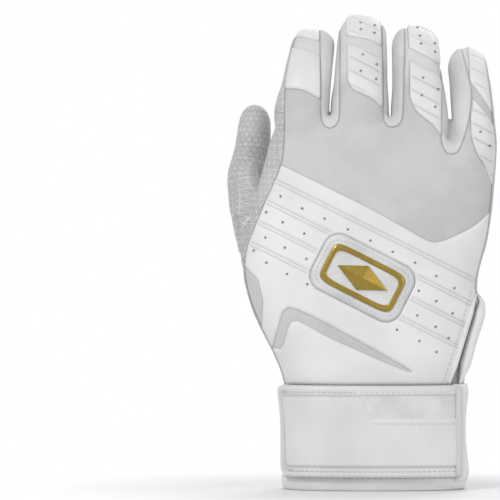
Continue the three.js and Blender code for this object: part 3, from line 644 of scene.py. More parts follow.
def survey(points):
    """Every field of the skin's panels at the points: positive inside a panel, in millimetres."""
    x, y, z = points.T
    frames = [finger_frame(finger, points) for finger in FINGERS.values()]
    sizes = [finger_size(finger, place[0]) for finger, place in zip(FINGERS.values(), frames)]
    near = np.argmin([np.abs(place[1]) / size[0] for place, size in zip(frames, sizes)], axis=0)
    along, across, out = (np.choose(near, [place[k] for place in frames]) for k in range(3))
    wide, deep = (np.choose(near, [size[k] for size in sizes]) for k in range(2))
    share = along / np.choose(near, [finger["length"] for finger in FINGERS.values()])
    thumb_along, thumb_across, thumb_out, thumb_size = thumb_frame(points)
    on_thumb = past_thumb_seam(thumb_along, thumb_size)
    back = np.where(along > 0, out, -y)

    # Where each finger and the thumb start to move
    fields = {}
    for i, (name, finger) in enumerate(FINGERS.items()):
        lean = math.radians(finger["lean"])
        height = (x - finger["x"]) * math.sin(lean) + (z - finger["cut"]) * math.cos(lean)
        fields[f"on_{name}"] = np.where((near == i) & (z > FINGER_FLOOR) & ~on_thumb, height, OUTSIDE)
    fields["on_thumb"] = np.where(thumb_size < THUMB_BODY, thumb_along - THUMB_CUT * THUMB_LENGTH, OUTSIDE)

    # The leather: the palm, the fronts of the fingers, the thumb and what wraps the sides
    crotch = np.interp(x, *CROTCH_LINE)
    tipward = ramp(share, *TIP_TURN)
    outward = np.choose(near, [-across, -wide, -wide, across]) / wide
    wrapped = np.maximum(ramp(outward, *WRAP_SPAN), tipward)
    palm_start = FRONT_START * ramp(z, crotch - CROTCH_SPAN[0], crotch - CROTCH_SPAN[1]) * wrapped
    finger_start = (FRONT_START - FRONT_TAPER * share) * wrapped - TIP_START * tipward
    hand_edge = radial_edge(np.minimum(z, SIDE_TOP)) + np.where(z < SIDE_TOP, RADIAL_INSET, OUTSIDE)
    seam_x = np.maximum(smooth(RADIAL_SEAM)(z), hand_edge)
    on_little = np.where(near == 3, ramp(along, *LITTLE_SPAN), 0)
    little_side = (x - ulnar_edge(z) + ULNAR_INSET) * (1 - on_little)
    little_side = little_side + (across - wide + LITTLE_INSET) * on_little
    side = np.maximum(seam_x - x, np.where((near == 3) | (along <= 0), little_side, FAR_OUT))
    side = np.where((near > 0) & (near < 3) & (z > SIDE_TOP), FAR_OUT, side)
    front = np.where(along > 0, -out - finger_start, y - palm_start)
    thumb_root = np.where(thumb_along > THUMB_ROOT, (ROOT_SIZE - thumb_size) * ROOT_SLOPE, FAR_OUT)
    leather = np.where(on_thumb, THUMB_FIELD, np.maximum.reduce([side, front, thumb_root]))
    palm = np.where(on_thumb, THUMB_PALM - y, y)

    thenar = polygon(rounded_line(THENAR, 4))(x, z)
    fields["elastic"] = np.minimum(PALM_EDGE - z, y + CUFF_SEAM)
    fields["underlap"] = np.minimum(CUFF_HEIGHT - z, -y - CUFF_SEAM)
    fields["thenar"] = np.minimum.reduce([thenar, leather, palm - THENAR_DEPTH])
    fields["heel"] = np.minimum.reduce([polygon(HEEL)(x, z), leather, palm - HEEL_DEPTH])
    fields["leather"] = leather
    fields["vent"] = np.minimum(polygon(VENT)(x, z), back)
    fields["fourchette"] = np.maximum.reduce([polygon(rounded_line(line, 4))(x, z) for line in GAP_LINES])
    tip, pad = np.full((2, len(x)), FAR_OUT)
    for i, name in enumerate(NAMES):
        left, right = PAD_SIDES[name]
        edge, top, foot = (smooth(table[name])(x) for table in (TIP_EDGES, PAD_TOPS, PAD_FEET))
        mine = (near == i) & (z > PAD_FLOOR) & ~on_thumb
        tip_here = smooth_min((z - edge) * TIP_SLANT, x - left, right - x, soft=1.0)
        pad_ends = (top - z) * TIP_SLANT, (z - foot) * FOOT_SLANT
        pad_here = smooth_min(*pad_ends, x - left, right - x, soft=1.6)
        tip = np.where(mine, np.maximum(tip, tip_here), tip)
        pad = np.where(mine, np.maximum(pad, np.minimum(pad_here, back + 2)), pad)
    fields["tip"] = tip
    fields["pad"] = pad
    fields["side_inlay"] = np.minimum(polygon(SIDE_INLAY)(x, z), back)
    fields["flex_inlay"] = np.minimum(polygon(rounded_line(FLEX_INLAY + FLEX_INLAY[:1], 4))(x, z), back)
    fields["white"] = np.minimum((smooth(KNUCKLE_EDGE)(x) - z) * KNUCKLE_SLANT, back)
    facts = dict(along=along, across=across, out=out, share=share, near=near.astype(float), back=back)
    facts.update(wide=wide, deep=deep, thumb_along=thumb_along, thumb_across=thumb_across)
    facts.update(thumb_out=thumb_out, thumb_size=thumb_size)
    return fields, facts


# Height of each panel above the skin, and width of its rolled edge. An earlier panel lies over a later one.
RELIEF = {
    "elastic": (0.3, 1.2), "underlap": (0.0, 0.8), "thenar": (0.55, 1.6), "heel": (0.45, 1.2),
    "leather": (0.45, 1.3), "vent": (-1.2, 1.6), "fourchette": (0.8, 1.9), "tip": (0.9, 1.3),
    "pad": (1.1, 1.3), "side_inlay": (0.15, 0.8), "flex_inlay": (-0.1, 0.8), "badge": (1.9, 1.8),
    "white": (0.75, 1.2), "stretch": (0.0, 0.8),
}
PANELS = list(RELIEF)
SEAM_DEPTH = 0.25
HOLE_DEPTH = 0.6
BADGE_CORNER = 7.0
BADGE_RIM = 4.0
LOZENGE = (12.5, 6.0)
BADGE_STITCH = 1.9
CHANNEL_SLOPE = 0.5
CHANNELS = [118.35, 107.1, 96.1, 85.05]
PAD_CHANNEL_PITCH = 5.6
PAD_CHANNEL_START = 184.4
PAD_CHANNEL_SLOPE = 0.55
CHANNEL_HALF = 0.8
GROOVE_WIDTH = 0.34
CHANNEL_DEPTH = 0.4
PAD_CHANNEL_DEPTH = 0.5
FINGER_CREASES = [0.3, 0.62]
CREASE_LENGTH = 50.0
# Depth and width of a finger's crease, and height, distance and width of the swell on both sides of it
CREASE = (0.75, 1.1)
SWELL = (0.35, 3.2, 2.2)
LEATHER_GRAIN = 0.35
FABRIC_GRAIN = 0.12
# Distances within which the triangles are finer
FINE_HOLE = 1.2
FINE_LINE = 1.1
FINE_MARGIN = 0.5
FINE_EDGE = 1.3
FINE_LOW = 44.0


def badge_field(x, z):
    """Distance inside the tilted rounded badge."""
    dx, dz = x - BADGE_CENTRE[0], z - BADGE_CENTRE[1]
    u = dx * math.cos(BADGE_TILT) + dz * math.sin(BADGE_TILT)
    v = -dx * math.sin(BADGE_TILT) + dz * math.cos(BADGE_TILT)
    a = np.abs(u) - (BADGE_SIZE[0] / 2 - BADGE_CORNER)
    b = np.abs(v) - (BADGE_SIZE[1] / 2 - BADGE_CORNER)
    return BADGE_CORNER - np.hypot(np.maximum(a, 0), np.maximum(b, 0)) - np.minimum(np.maximum(a, b), 0)


def hole_field(x, z, centres, radius=HOLE_RADIUS):
    best = np.full(len(x), 1e9)
    for cx, cz in centres:
        best = np.minimum(best, np.hypot(x - cx, z - cz))
    return radius - best


def all_fields(points):
    fields, facts = survey(points)
    x, y, z = points.T
    fields["badge"] = np.where(facts["back"] > 0, badge_field(x, z), OUTSIDE)
    others = np.maximum.reduce([fields[name] for name in ("flex_inlay", "side_inlay", "badge", "vent")])
    panel = np.minimum(fields["white"], -others) - HOLE_MARGIN
    cushion = np.maximum(fields["pad"], fields["tip"]) - HOLE_MARGIN
    hole = np.maximum(np.minimum(hole_field(x, z, PERFORATIONS), panel),
                      np.minimum(hole_field(x, z, PAD_HOLES), cushion))
    patch = np.maximum(fields["thenar"], fields["heel"])
    palm = np.where(patch > 0, patch, np.minimum(fields["leather"], -patch)) - HOLE_MARGIN
    palm_hole = np.minimum(hole_field(x, z, PALM_HOLES, PALM_HOLE_RADIUS), palm)
    fields["hole"] = np.where(facts["back"] > 0, hole, np.where(y > 2, palm_hole, OUTSIDE))
    return fields, facts


def back_channels(x, z):
    """Distance to the nearest sewn line of the back, where the lines run in pairs."""
    gaps = [np.abs(z + CHANNEL_SLOPE * x - start) / math.hypot(1, CHANNEL_SLOPE) for start in CHANNELS]
    return np.minimum.reduce([np.abs(gap - CHANNEL_HALF) for gap in gaps])


def pad_channels(x, z):
    """Distance to the nearest sewn line of the finger pads."""
    rise = (z + PAD_CHANNEL_SLOPE * x - PAD_CHANNEL_START) / math.hypot(1, CHANNEL_SLOPE)
    return np.abs((rise + PAD_CHANNEL_PITCH / 2) % PAD_CHANNEL_PITCH - PAD_CHANNEL_PITCH / 2)


# Finer triangles at the holes, the sewn lines and the panels' edges on the back
fields, facts = all_fields(base_points)
lines = back_channels(base_points[:, 0], base_points[:, 2])
near_hole = fields["hole"] > -FINE_HOLE
near_line = (lines < FINE_LINE) & (fields["white"] > -FINE_MARGIN)
near_line |= np.maximum(fields["pad"], fields["tip"]) > -FINE_MARGIN
edges = np.minimum.reduce([np.abs(fields[name]) for name in ("white", "pad", "tip", "badge", "fourchette")])
wanted = near_line | ((edges < FINE_EDGE) & (fields["leather"] < 1))
wanted = (wanted & (facts["back"] > 0) & (base_points[:, 2] > FINE_LOW)) | near_hole
chosen = wanted[base_triangles].any(1)
base_points, base_triangles = refine(base_points, base_normals, base_triangles, chosen)
fields, facts = all_fields(base_points)
base_triangles = base_triangles[(base_points[base_triangles][:, :, 2] > SKIN_FOOT).all(1)]
skin, triangles = carve(base_points, base_triangles, fields, facts)


# Which panel and which moving body each triangle belongs to
def corner_mean(name):
    return skin[name][triangles].mean(1)


panel_of = np.full(len(triangles), len(PANELS) - 1)
for k in reversed(range(len(PANELS) - 1)):
    panel_of[corner_mean(PANELS[k]) > 0] = k
in_hole = corner_mean("hole") > 0
nearest = np.rint(skin["near"][triangles]).astype(int)[:, 0]
owner_of = np.zeros(len(triangles), int)
for i, name in enumerate(NAMES):
    owner_of[corner_mean(f"on_{name}") > 0] = i + 1
owner_of[corner_mean("on_thumb") > 0] = 5
on_pad = np.isin(panel_of, [PANELS.index("pad"), PANELS.index("tip")])
owner_of[on_pad] = nearest[on_pad] + 1

# Relief: panels stand up from their seams with rolled edges
count = len(skin["co"])
edge_gap = np.full(count, 99.0)
limit = np.full(count, 99.0)
panel_at = np.full(count, len(PANELS) - 1)
free = np.ones(count, bool)
for k, name in enumerate(PANELS[:-1]):
    inside = free & (skin[name] > 1e-9)
    panel_at[inside] = k
    edge_gap[inside] = np.minimum(skin[name], limit)[inside]
    free &= ~inside
    limit = np.minimum(limit, np.maximum(-skin[name], 0))
edge_gap[free] = limit[free]
heights = np.array([RELIEF[name][0] for name in PANELS])[panel_at]
rolls = np.array([RELIEF[name][1] for name in PANELS])[panel_at]
roll = np.sqrt(1 - (1 - np.clip(edge_gap / rolls, 0, 1)) ** 2)
relief = -SEAM_DEPTH * (1 - roll) + heights * roll

x, y, z = skin["co"].T


def is_panel(*names):
    return np.isin(panel_at, [PANELS.index(name) for name in names])


def bump(gap, width):
    """1 at a line and 0 away from it."""
    return np.exp(-((gap / width) ** 2))


skin_normals = normals_of(skin["co"], triangles)
facing = np.clip(-skin_normals[:, 1] * 2 - 0.5, 0, 1)
clear = np.clip(edge_gap - 0.6, 0, 1)
back_groove = np.where(is_panel("white"), bump(back_channels(x, z), GROOVE_WIDTH), 0) * clear
on_cushion = is_panel("pad", "tip") & (skin["near"] > 0.5)
pad_groove = np.where(on_cushion, bump(pad_channels(x, z), GROOVE_WIDTH), 0) * (clear * facing)
relief -= CHANNEL_DEPTH * back_groove + PAD_CHANNEL_DEPTH * pad_groove
groove = np.maximum(back_groove, pad_groove)
relief -= np.where(skin["hole"] > 0.05, HOLE_DEPTH, 0)
front = ramp(-skin["out"] / skin["deep"], 0.15, 0.7) * (skin["along"] > -6) * is_panel("leather")
for place in FINGER_CREASES:
    gap = (skin["share"] - place) * CREASE_LENGTH
    swell = SWELL[0] * bump(np.abs(gap) - SWELL[1], SWELL[2])
    relief += front * (-CREASE[0] * bump(gap, CREASE[1]) + swell)
spots = [Vector(place) for place in skin["co"].tolist()]
grain = np.array([noise.noise(spot * 0.09) + 0.5 * noise.noise(spot * 0.21) for spot in spots])
rough = np.where(is_panel("leather", "thenar", "heel"), LEATHER_GRAIN, FABRIC_GRAIN)
relief += grain * rough * np.clip(edge_gap / 2, 0, 1)
surface = skin["co"] + skin_normals * relief[:, None]
surface_normals = normals_of(surface, triangles)


# Flat lengths over the skin, for patterns that follow it
PALM_FLAT = 0.6
THUMB_FLAT = 50.0
THUMB_GIRTH = 9.5
THUMB_HALF = 6.0
THUMB_BACK = 6.5
TIP_FLAT = 5.0
ROOT_FLAT = 12.0
FINGER_LOW = 140.0
# Spans over which one flat length gives way to another: the thumb's size and length, and the way of a face
AT_THUMB = ((1.9, 1.3), (5, 25))
TO_THUMB = ((1.7, 1.25), (24, 66))
TO_PALM = (-0.35, 0.35)


def girth(turn, wide, deep, squareness, steps=24):
    """Length round a section from the middle of the palm to a turn, over the little-finger side or back."""
    start = 180.0
    turn = np.where(turn < 0, turn + 360, turn)
    places = [rounded(start + (turn - start) * k / steps, wide, deep, squareness) for k in range(steps + 1)]
    total = np.zeros(len(turn))
    for before, here in zip(places[:-1], places[1:]):
        total += np.hypot(here[0] - before[0], here[1] - before[1])
    return total * np.sign(turn - start)


def blended(first, second, share):
    return first * (1 - share)[:, None] + second * share[:, None]


along, across, out = skin["along"], skin["across"], skin["out"]
thumb_along, thumb_across, thumb_out = skin["thumb_along"], skin["thumb_across"], skin["thumb_out"]
thumb_size = skin["thumb_size"]

# Round the hand, and level across the palm
middle, wide, deep = hand_section(z)
hand_turn = turn_of(x - middle, -y, wide, deep, HAND_SQUARENESS)
flat_girth = columns(girth(hand_turn, wide, deep, HAND_SQUARENESS), z)
at_thumb = ramp(thumb_size, *AT_THUMB[0]) * ramp(thumb_along, *AT_THUMB[1])
round_hand = np.sign(middle - x) * np.maximum(PALM_FLAT * deep - y, 0)
round_thumb = np.clip(-thumb_across / THUMB_HALF, -1, 1) * np.maximum(thumb_out + THUMB_BACK, 0)
flat_hand = columns(middle - x + round_hand * (1 - at_thumb) + round_thumb * at_thumb, z)

# Round a finger and over its dome
nearest_finger = np.rint(skin["near"]).astype(int)
root_x, root_z, length = (
    np.choose(nearest_finger, [finger[key] for finger in FINGERS.values()]) for key in ("x", "z", "length")
)
finger_turn = turn_of(across, out, skin["wide"], skin["deep"], FINGER_SQUARENESS)
finger_girth = girth(finger_turn, skin["wide"], skin["deep"], FINGER_SQUARENESS)
dome_start = length - FINGER_DOME
into = np.maximum(along - dome_start, 0)
over = np.arctan2(into, np.maximum(-out, 0.5)) * FINGER_DOME
level = ramp(into, 0, TIP_FLAT)
flat_u = finger_girth * (1 - level) - across * level
flat_finger = columns(flat_u - root_x, root_z + np.where(into > 0, dome_start + over, along))

# Round the thumb
thumb_turn = np.arctan2(thumb_across, -thumb_out)
thumb_turn = np.where(thumb_turn > np.pi / 2, thumb_turn - 2 * np.pi, thumb_turn)
flat_thumb = columns(THUMB_FLAT - thumb_turn * THUMB_GIRTH, thumb_along + THUMB_POINTS[0][2])

# Together: level on what faces the palm, and round the limbs elsewhere
on_finger = np.maximum.reduce([skin[f"on_{name}"] for name in NAMES]) > 1e-6
flat_front = np.where(on_finger[:, None], flat_finger, flat_hand)
flat_front = np.where(past_thumb_seam(thumb_along, thumb_size)[:, None], flat_thumb, flat_front)
rooted = (along > 0) & (z > FINGER_LOW)
flat_round = np.where(rooted[:, None], flat_finger, flat_girth)
to_thumb = ramp(thumb_size, *TO_THUMB[0]) * ramp(thumb_along, *TO_THUMB[1])
flat_round = blended(flat_round, flat_thumb, to_thumb)
flat_palm = blended(flat_round, flat_front, ramp(skin_normals[:, 1], *TO_PALM))
flat_back = columns(x, z + (y + FINGER_DEPTH / 2) * ramp(along, 0, ROOT_FLAT))
flat_side = columns(out, along)


# Materials
FLAT = 100.0
GRIP_PITCH = 7.3
# Lengths up the finger backs over which the painted light fades in
TIP_LIGHT_FADE = (182.0, 199.0)
GROOVE_SHADE = 0.36
# Width of the painted shade along a panel's seam
SEAM_SHADE_WIDTH = 0.42


def srgb(*levels):
    """Linear colour of levels from 0 to 255."""
    if len(levels) == 1:
        levels = levels * 3
    linear = [(v / 255 / 12.92) if v < 10.5 else ((v / 255 + 0.055) / 1.055) ** 2.4 for v in levels]
    return (*linear, 1.0)


class Nodes:
    """A node tree to which nodes are added one by one."""

    def __init__(self, tree):
        self.tree = tree

    def feed(self, socket, value):
        """Links a node's output to a socket, or sets the socket to a constant."""
        if isinstance(value, bpy.types.NodeSocket):
            self.tree.links.new(value, socket)
        else:
            socket.default_value = value

    def fill(self, node, **values):
        """Feeds the sockets of a node by their names."""
        for name, value in values.items():
            self.feed(node.inputs[name.replace("_", " ")], value)

    def node(self, kind, *values, **settings):
        made = self.tree.nodes.new("ShaderNode" + kind)
        for key, value in settings.items():
            setattr(made, key, value)
        for socket, value in zip(made.inputs, values):
            self.feed(socket, value)
        return made

    def math(self, operation, *values):
        return self.node("Math", *values, operation=operation).outputs[0]

    def pale_rays(self):
        """1 for rays from the camera, a glossy surface or a clear one."""
        path = self.node("LightPath").outputs
        either = self.math("MAXIMUM", path["Is Camera Ray"], path["Is Glossy Ray"])
        return self.math("MAXIMUM", either, path["Is Transmission Ray"])

    def show(self, share, first, second, output):
        """Shows the first of two shaders, or the second by a share."""
        blend = self.node("MixShader", share, first.outputs[0], second.outputs[0])
        self.fill(self.tree.nodes[output], Surface=blend.outputs[0])


class Shader(Nodes):
    """A material with a procedural surface."""

    def __init__(self, name, rough, **sockets):
        self.material = bpy.data.materials.new(name)
        self.material.use_nodes = True
        super().__init__(self.material.node_tree)
        self.surface = self.tree.nodes["Principled BSDF"]
        self.fill(self.surface, Roughness=rough, **sockets)

    def times(self, first, second):
        return self.math("MULTIPLY", first, second)

    def wave(self, value, pitch):
        """Up from 0 to 0.5 and down again over each pitch."""
        return self.math("PINGPONG", self.math("DIVIDE", value, pitch), 0.5)

    def mix(self, share, first, second):
        made = self.node("Mix", data_type="RGBA")
        sockets = {socket.identifier: socket for socket in made.inputs}
        for key, value in (("Factor_Float", share), ("A_Color", first), ("B_Color", second)):
            self.feed(sockets[key], value)
        return next(socket for socket in made.outputs if socket.identifier == "Result_Color")

    def spread(self, value, low, high, first=0.0, last=1.0):
        made = self.node("MapRange", value, low, high, first, last, interpolation_type="SMOOTHSTEP")
        return made.outputs[0]

    def attribute(self, name):
        return self.node("Attribute", attribute_name=name).outputs["Fac"]

    def flat(self):
        """The flat length across and along the skin, in millimetres."""
        parts = self.node("SeparateXYZ", self.node("UVMap").outputs[0])
        return [self.times(part, FLAT) for part in parts.outputs[:2]]

    def clouds(self, scale, detail):
        """Noise over the object, with a scale in turns for each millimetre."""
        place = self.node("TexCoord").outputs["Object"]
        place = self.node("VectorMath", place, (scale / MM,) * 3, operation="MULTIPLY").outputs[0]
        made = self.node("TexNoise", place)
        self.fill(made, Scale=1.0, Detail=detail)
        return made.outputs[0]

    def patches(self, scale, low=0.3, high=0.7):
        return self.spread(self.clouds(scale, 3.0), low, high)

    def lines(self, u, v, angle, pitch, half):
        """Thin lines at an angle across the flat skin: 1 on a line, 0 between."""
        angle = math.radians(angle)
        steps = [self.times(u, math.cos(angle) / pitch), self.times(v, math.sin(angle) / pitch)]
        along = self.math("ADD", *steps)
        return self.spread(self.math("PINGPONG", along, 0.5), half / pitch, half * 0.35 / pitch)

    def paint(self, colour, seam=0.0, seam_tone=120, groove=0.0):
        """Sets the colour, with painted shade in the seam groove along the edge of a panel and in its sewn
        lines.
        """
        if seam:
            # painted shade: darker towards the seam tone near a panel's edge, in its seam groove
            line = self.times(self.spread(self.attribute("edge"), SEAM_SHADE_WIDTH, 0.05), seam)
            colour = self.mix(line, colour, srgb(seam_tone))
        if groove:
            # painted shade in the sunk sewn lines, darker towards grey 140
            colour = self.mix(self.times(self.attribute("groove"), groove), colour, srgb(140))
        self.fill(self.surface, Base_Color=colour)

    def roughen(self, value, low, high):
        self.fill(self.surface, Roughness=self.spread(value, 0.3, 0.7, low, high))

    def emboss(self, height, depth):
        """Bump of a height from 0 to 1 that stands for a depth in millimetres."""
        made = self.node("Bump")
        self.fill(made, Strength=1.0, Distance=depth * MM, Height=height)
        self.fill(self.surface, Normal=made.outputs[0])


def leather(name, pitch, pale, dark, fine_share):
    """Goatskin with a fine triangular line emboss, and pale grip lines along and across the hand."""
    made = Shader(name, 0.55, Sheen_Weight=0.08)
    u, v = made.flat()
    fine = made.lines(u, v, 90, pitch, 0.3)
    for angle in (30, 150):
        fine = made.math("MAXIMUM", fine, made.lines(u, v, angle, pitch, 0.3))
    bold = made.lines(u, v, 93, GRIP_PITCH, 0.34)
    upright = made.lines(u, v, 0, GRIP_PITCH * 0.85, 0.26)
    worn = made.spread(made.clouds(0.22, 2.0), 0.3, 0.7, 0.45, 1.0)
    grain = made.clouds(1.4, 4.0)
    fleck = made.times(made.spread(grain, 0.42, 0.62), 0.16)
    lined = made.math("ADD", made.times(made.times(fine, worn), fine_share), fleck)
    lined = made.math("MAXIMUM", lined, made.times(bold, 0.4))
    lined = made.math("MAXIMUM", lined, made.times(upright, 0.2))
    ground = made.mix(made.patches(0.05, 0.35, 0.65), srgb(dark), srgb(pale))
    made.paint(made.mix(lined, ground, srgb(230)), 0.6, 110)
    made.emboss(made.math("ADD", lined, made.times(grain, 0.35)), 0.16)
    made.roughen(grain, 0.48, 0.66)
    return made.material


def synthetic(name, tone, grain_scale=1.1, seam=0.0):
    """Pebbled white synthetic leather."""
    made = Shader(name, 0.42, Specular_IOR_Level=0.4)
    made.paint(made.mix(made.patches(0.035), srgb(tone - 7), srgb(tone + 3)), seam, groove=GROOVE_SHADE)
    grain = made.clouds(grain_scale, 4.0)
    made.emboss(grain, 0.05)
    made.roughen(grain, 0.36, 0.52)
    return made.material


def stretch(name, tone, pitch=0.62, seam=0.0, weave_shade=0.35, top_tone=None):
    """Fine knitted stretch fabric; a top tone adds painted light, lighter towards the fingertips."""
    made = Shader(name, 0.75, Sheen_Weight=0.25, Sheen_Roughness=0.5)
    u, v = made.flat()
    weave = made.times(made.times(made.wave(u, pitch), 2.0), made.times(made.wave(v, pitch * 0.8), 2.0))
    colour = made.mix(made.patches(0.04), srgb(tone - 8), srgb(tone + 6))
    if top_tone:
        # painted light: the fabric lightens towards the top tone on the upturned finger backs
        colour = made.mix(made.spread(v, *TIP_LIGHT_FADE), colour, srgb(top_tone))
    made.paint(made.mix(made.times(weave, weave_shade), colour, srgb(tone - 45)), seam)
    made.emboss(made.math("SUBTRACT", 1.0, weave), 0.1)
    return made.material


def ribbed(name, tone, pitch):
    """Ribbed knit elastic, with the ribs along the hand."""
    made = Shader(name, 0.8, Sheen_Weight=0.25, Sheen_Roughness=0.5)
    u, v = made.flat()
    rib = made.spread(made.wave(u, pitch), 0.0, 0.5)
    colour = made.mix(made.patches(0.05), srgb(tone - 8), srgb(tone + 6))
    made.paint(made.mix(made.times(made.math("SUBTRACT", 1.0, rib), 0.3), colour, srgb(tone - 70)))
    made.emboss(made.math("ADD", rib, made.times(made.wave(v, 0.55), 0.3)), 0.2)
    return made.material


def plain(name, colour, rough, grain=0.9, depth=0.04, **sockets):
    """A smooth or fuzzy finish with slight variation."""
    made = Shader(name, rough, **sockets)
    dark = (*[c * 0.86 for c in colour[:3]], 1.0)
    made.paint(made.mix(made.patches(0.08), dark, colour))
    texture = made.clouds(grain, 4.0)
    made.emboss(texture, depth)
    made.roughen(texture, rough - 0.07, rough + 0.07)
    return made.material


LEATHER = leather("palm_leather", 2.7, 190, 170, 0.6)
# painted shade: a darker copy of the palm leather for the thumb, which lies in shade
SHADED_THUMB_LEATHER = leather("shaded_thumb_leather", 2.5, 176, 152, 0.6)
HEEL_LEATHER = leather("heel_leather", 4.2, 192, 172, 0.66)
WHITE = synthetic("white_synthetic", 232, seam=0.22)
PAD_WHITE = synthetic("pad_synthetic", 227, seam=0.22)
# the stretch fabric gets lighter towards the fingertips with painted light
STRETCH = stretch("stretch_fabric", 207, seam=0.25, top_tone=227)
SIDE_KNIT = stretch("fourchette_knit", 214, 0.8, 0.6, 0.1)
GUSSET_KNIT = stretch("gusset_knit", 236, 0.8)
# painted shade: the welt's knit is darker than the gusset's so that it reads as the shadow line at the
# strap's end
WELT_SHADE_KNIT = stretch("welt_shade_knit", 212, 0.8)
KNIT = ribbed("knit_elastic", 220, 0.95)
# grey knit, darkened further with painted shade for the shade inside the recessed vent slit
VENT_SHADE_KNIT = ribbed("vent_shade_knit", 186, 1.0)
STRAP_WHITE = synthetic("strap_synthetic", 225, 0.9)
WINDOW = plain("strap_window", srgb(224), 0.35)
RUBBER = plain("badge_rubber", srgb(222), 0.42)
GOLD = plain("badge_gold", srgb(156, 133, 62), 0.26, 0.6, 0.02, Metallic=0.9)
HOOK = plain("hook_tape", srgb(120), 0.85, 2.2, 0.4)
LOOP = plain("loop_tape", srgb(205), 0.9, 2.6, 0.4, Sheen_Weight=0.4)
THREAD = plain("thread", srgb(206), 0.6, 3.0, 0.05)
# painted shade: grey inside the sunk perforations
HOLE_SHADE = plain("perforation", srgb(176), 0.8)
HEM_WHITE = synthetic("hem_binding", 230, 1.3)


# Pieces
def world(points):
    return (np.asarray(points, float) + ORIGIN) * MM


def make(name, points, faces, materials, uv=None, normals=None, material_of=None, **attributes):
    """A named piece from points in millimetres, with flat lengths and attributes for its material."""
    mesh = bpy.data.meshes.new(name)
    mesh.from_pydata(world(points).tolist(), [], [tuple(map(int, face)) for face in faces])
    for material in materials:
        mesh.materials.append(material)
    mesh.shade_smooth()
    corners = np.zeros(len(mesh.loops), np.int64)
    mesh.loops.foreach_get("vertex_index", corners)
    if uv is not None:
        layer = mesh.uv_layers.new(name="UVMap")
        layer.data.foreach_set("uv", (np.asarray(uv)[corners] / FLAT).ravel())
    if material_of is not None:
        mesh.polygons.foreach_set("material_index", np.asarray(material_of, np.int32))
    if normals is not None:
        mesh.normals_split_custom_set_from_vertices(np.asarray(normals).tolist())
    for key, values in attributes.items():
        mesh.attributes.new(key, "FLOAT", "POINT").data.foreach_set("value", values.astype(np.float32))
    return linked(name, mesh)


def from_skin(name, chosen, material, flat):
    """A piece of the skin: its triangles, flat lengths, rounded normals and distance from its own edge."""
    used, place = np.unique(triangles[chosen], return_inverse=True)
    # the second material, with painted shade, goes on the perforations
    return make(name, surface[used], place.reshape(-1, 3), [material, HOLE_SHADE], flat[used],
                surface_normals[used], in_hole[chosen], edge=edge_gap[used], groove=groove[used])


def placed(piece, body, slot, *nodes):
    """Moves a piece with the hand or the strap; a finger's or the thumb's piece keeps its place."""
    if body in ("hand", "strap"):
        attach(piece, body)
    else:
        if body == "thumb":
            start, _, _, way = (axis[0] for axis in thumb_axis(np.array([THUMB_CUT * THUMB_LENGTH])))
        else:
            finger = FINGERS[body]
            lean = math.radians(finger["lean"])
            start = np.array([finger["x"], 0, finger["cut"]])
            way = np.array([math.sin(lean), 0, math.cos(lean)])
        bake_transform(piece)
    if nodes:
        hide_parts(*nodes)


WEBS = ["web_index_middle", "web_middle_ring", "web_ring_little"]
HAND_PIECES = {
    "leather": ("palm_skin", LEATHER, "palm_leather", ["palm_leather", "thumb_base"]),
    "thenar": ("thenar_skin", LEATHER, "palm_leather", ["thenar_patch"]),
    "heel": ("heel_skin", HEEL_LEATHER, "palm_leather", ["heel_panel"]),
    "elastic": ("wristband_skin", KNIT, "knit_elastic", ["wristband_elastic"]),
    "underlap": ("underlap_skin", STRAP_WHITE, "white_synthetic", ["cuff_underlap"]),
    # the vent takes the knit with painted shade
    "vent": ("vent_skin", VENT_SHADE_KNIT, "knit_elastic", ["vent_gusset"]),
    "stretch": ("knuckle_skin", STRETCH, "stretch_fabric", ["knuckle_panel"]),
    "white": ("back_skin", WHITE, "white_synthetic", ["back_panel"]),
    "flex_inlay": ("flex_skin", STRETCH, "stretch_fabric", ["flex_inlay"]),
    "side_inlay": ("side_skin", STRETCH, "stretch_fabric", ["side_inlay"]),
    "badge": ("badge_base_skin", RUBBER, "badge_rubber", ["badge_base"]),
    "fourchette": ("web_skin", SIDE_KNIT, "stretch_fabric", WEBS),
}
FINGER_PIECES = {
    "leather": ("front", LEATHER, "palm_leather"),
    "stretch": ("back", STRETCH, "stretch_fabric"),
    "pad": ("knuckle_pad", PAD_WHITE, "white_synthetic"),
    "tip": ("tip_cap", WHITE, "white_synthetic"),
    "fourchette": ("fourchette", SIDE_KNIT, "stretch_fabric"),
}
PIECES = {}
for panel, (name, material, slot, nodes) in HAND_PIECES.items():
    chosen = (owner_of == 0) & (panel_of == PANELS.index(panel))
    flat = flat_palm if panel in ("leather", "thenar", "heel", "elastic") else flat_back
    PIECES[name] = from_skin(name, chosen, material, flat)
    placed(PIECES[name], "hand", slot, *nodes)
for i, finger in enumerate(NAMES):
    for panel, (ending, material, slot) in FINGER_PIECES.items():
        chosen = (owner_of == i + 1) & (panel_of == PANELS.index(panel))
        flat = {"leather": flat_palm, "fourchette": flat_side}.get(panel, flat_back)
        piece = from_skin(f"{finger}_{ending}_skin", chosen, material, flat)
        nodes = [node for node in frame["nodes"] if node.startswith(finger) and node.endswith(ending)]
        placed(piece, finger, slot, *nodes)
# the thumb wears the darker leather with painted shade
thumb = from_skin("thumb_skin", owner_of == 5, SHADED_THUMB_LEATHER, flat_palm)
placed(thumb, "thumb", "palm_leather", "thumb_front", "thumb_back", "thumb_tip")


# Badge plate: a raised gold border round a plain faceted diamond
PLATE_FIELD = 0.35
PLATE_BORDER = 2.4
DIAMOND_STEP = 0.3
DIAMOND_RISE = 1.9
# Inset and height of the border's section
PLATE_SECTION = [
    (0.0, -0.5), (0.0, 0.55), (0.3, 0.88), (0.75, 1.0), (PLATE_BORDER - 0.5, 1.0),
    (PLATE_BORDER - 0.15, 0.85), (PLATE_BORDER, PLATE_FIELD),
]


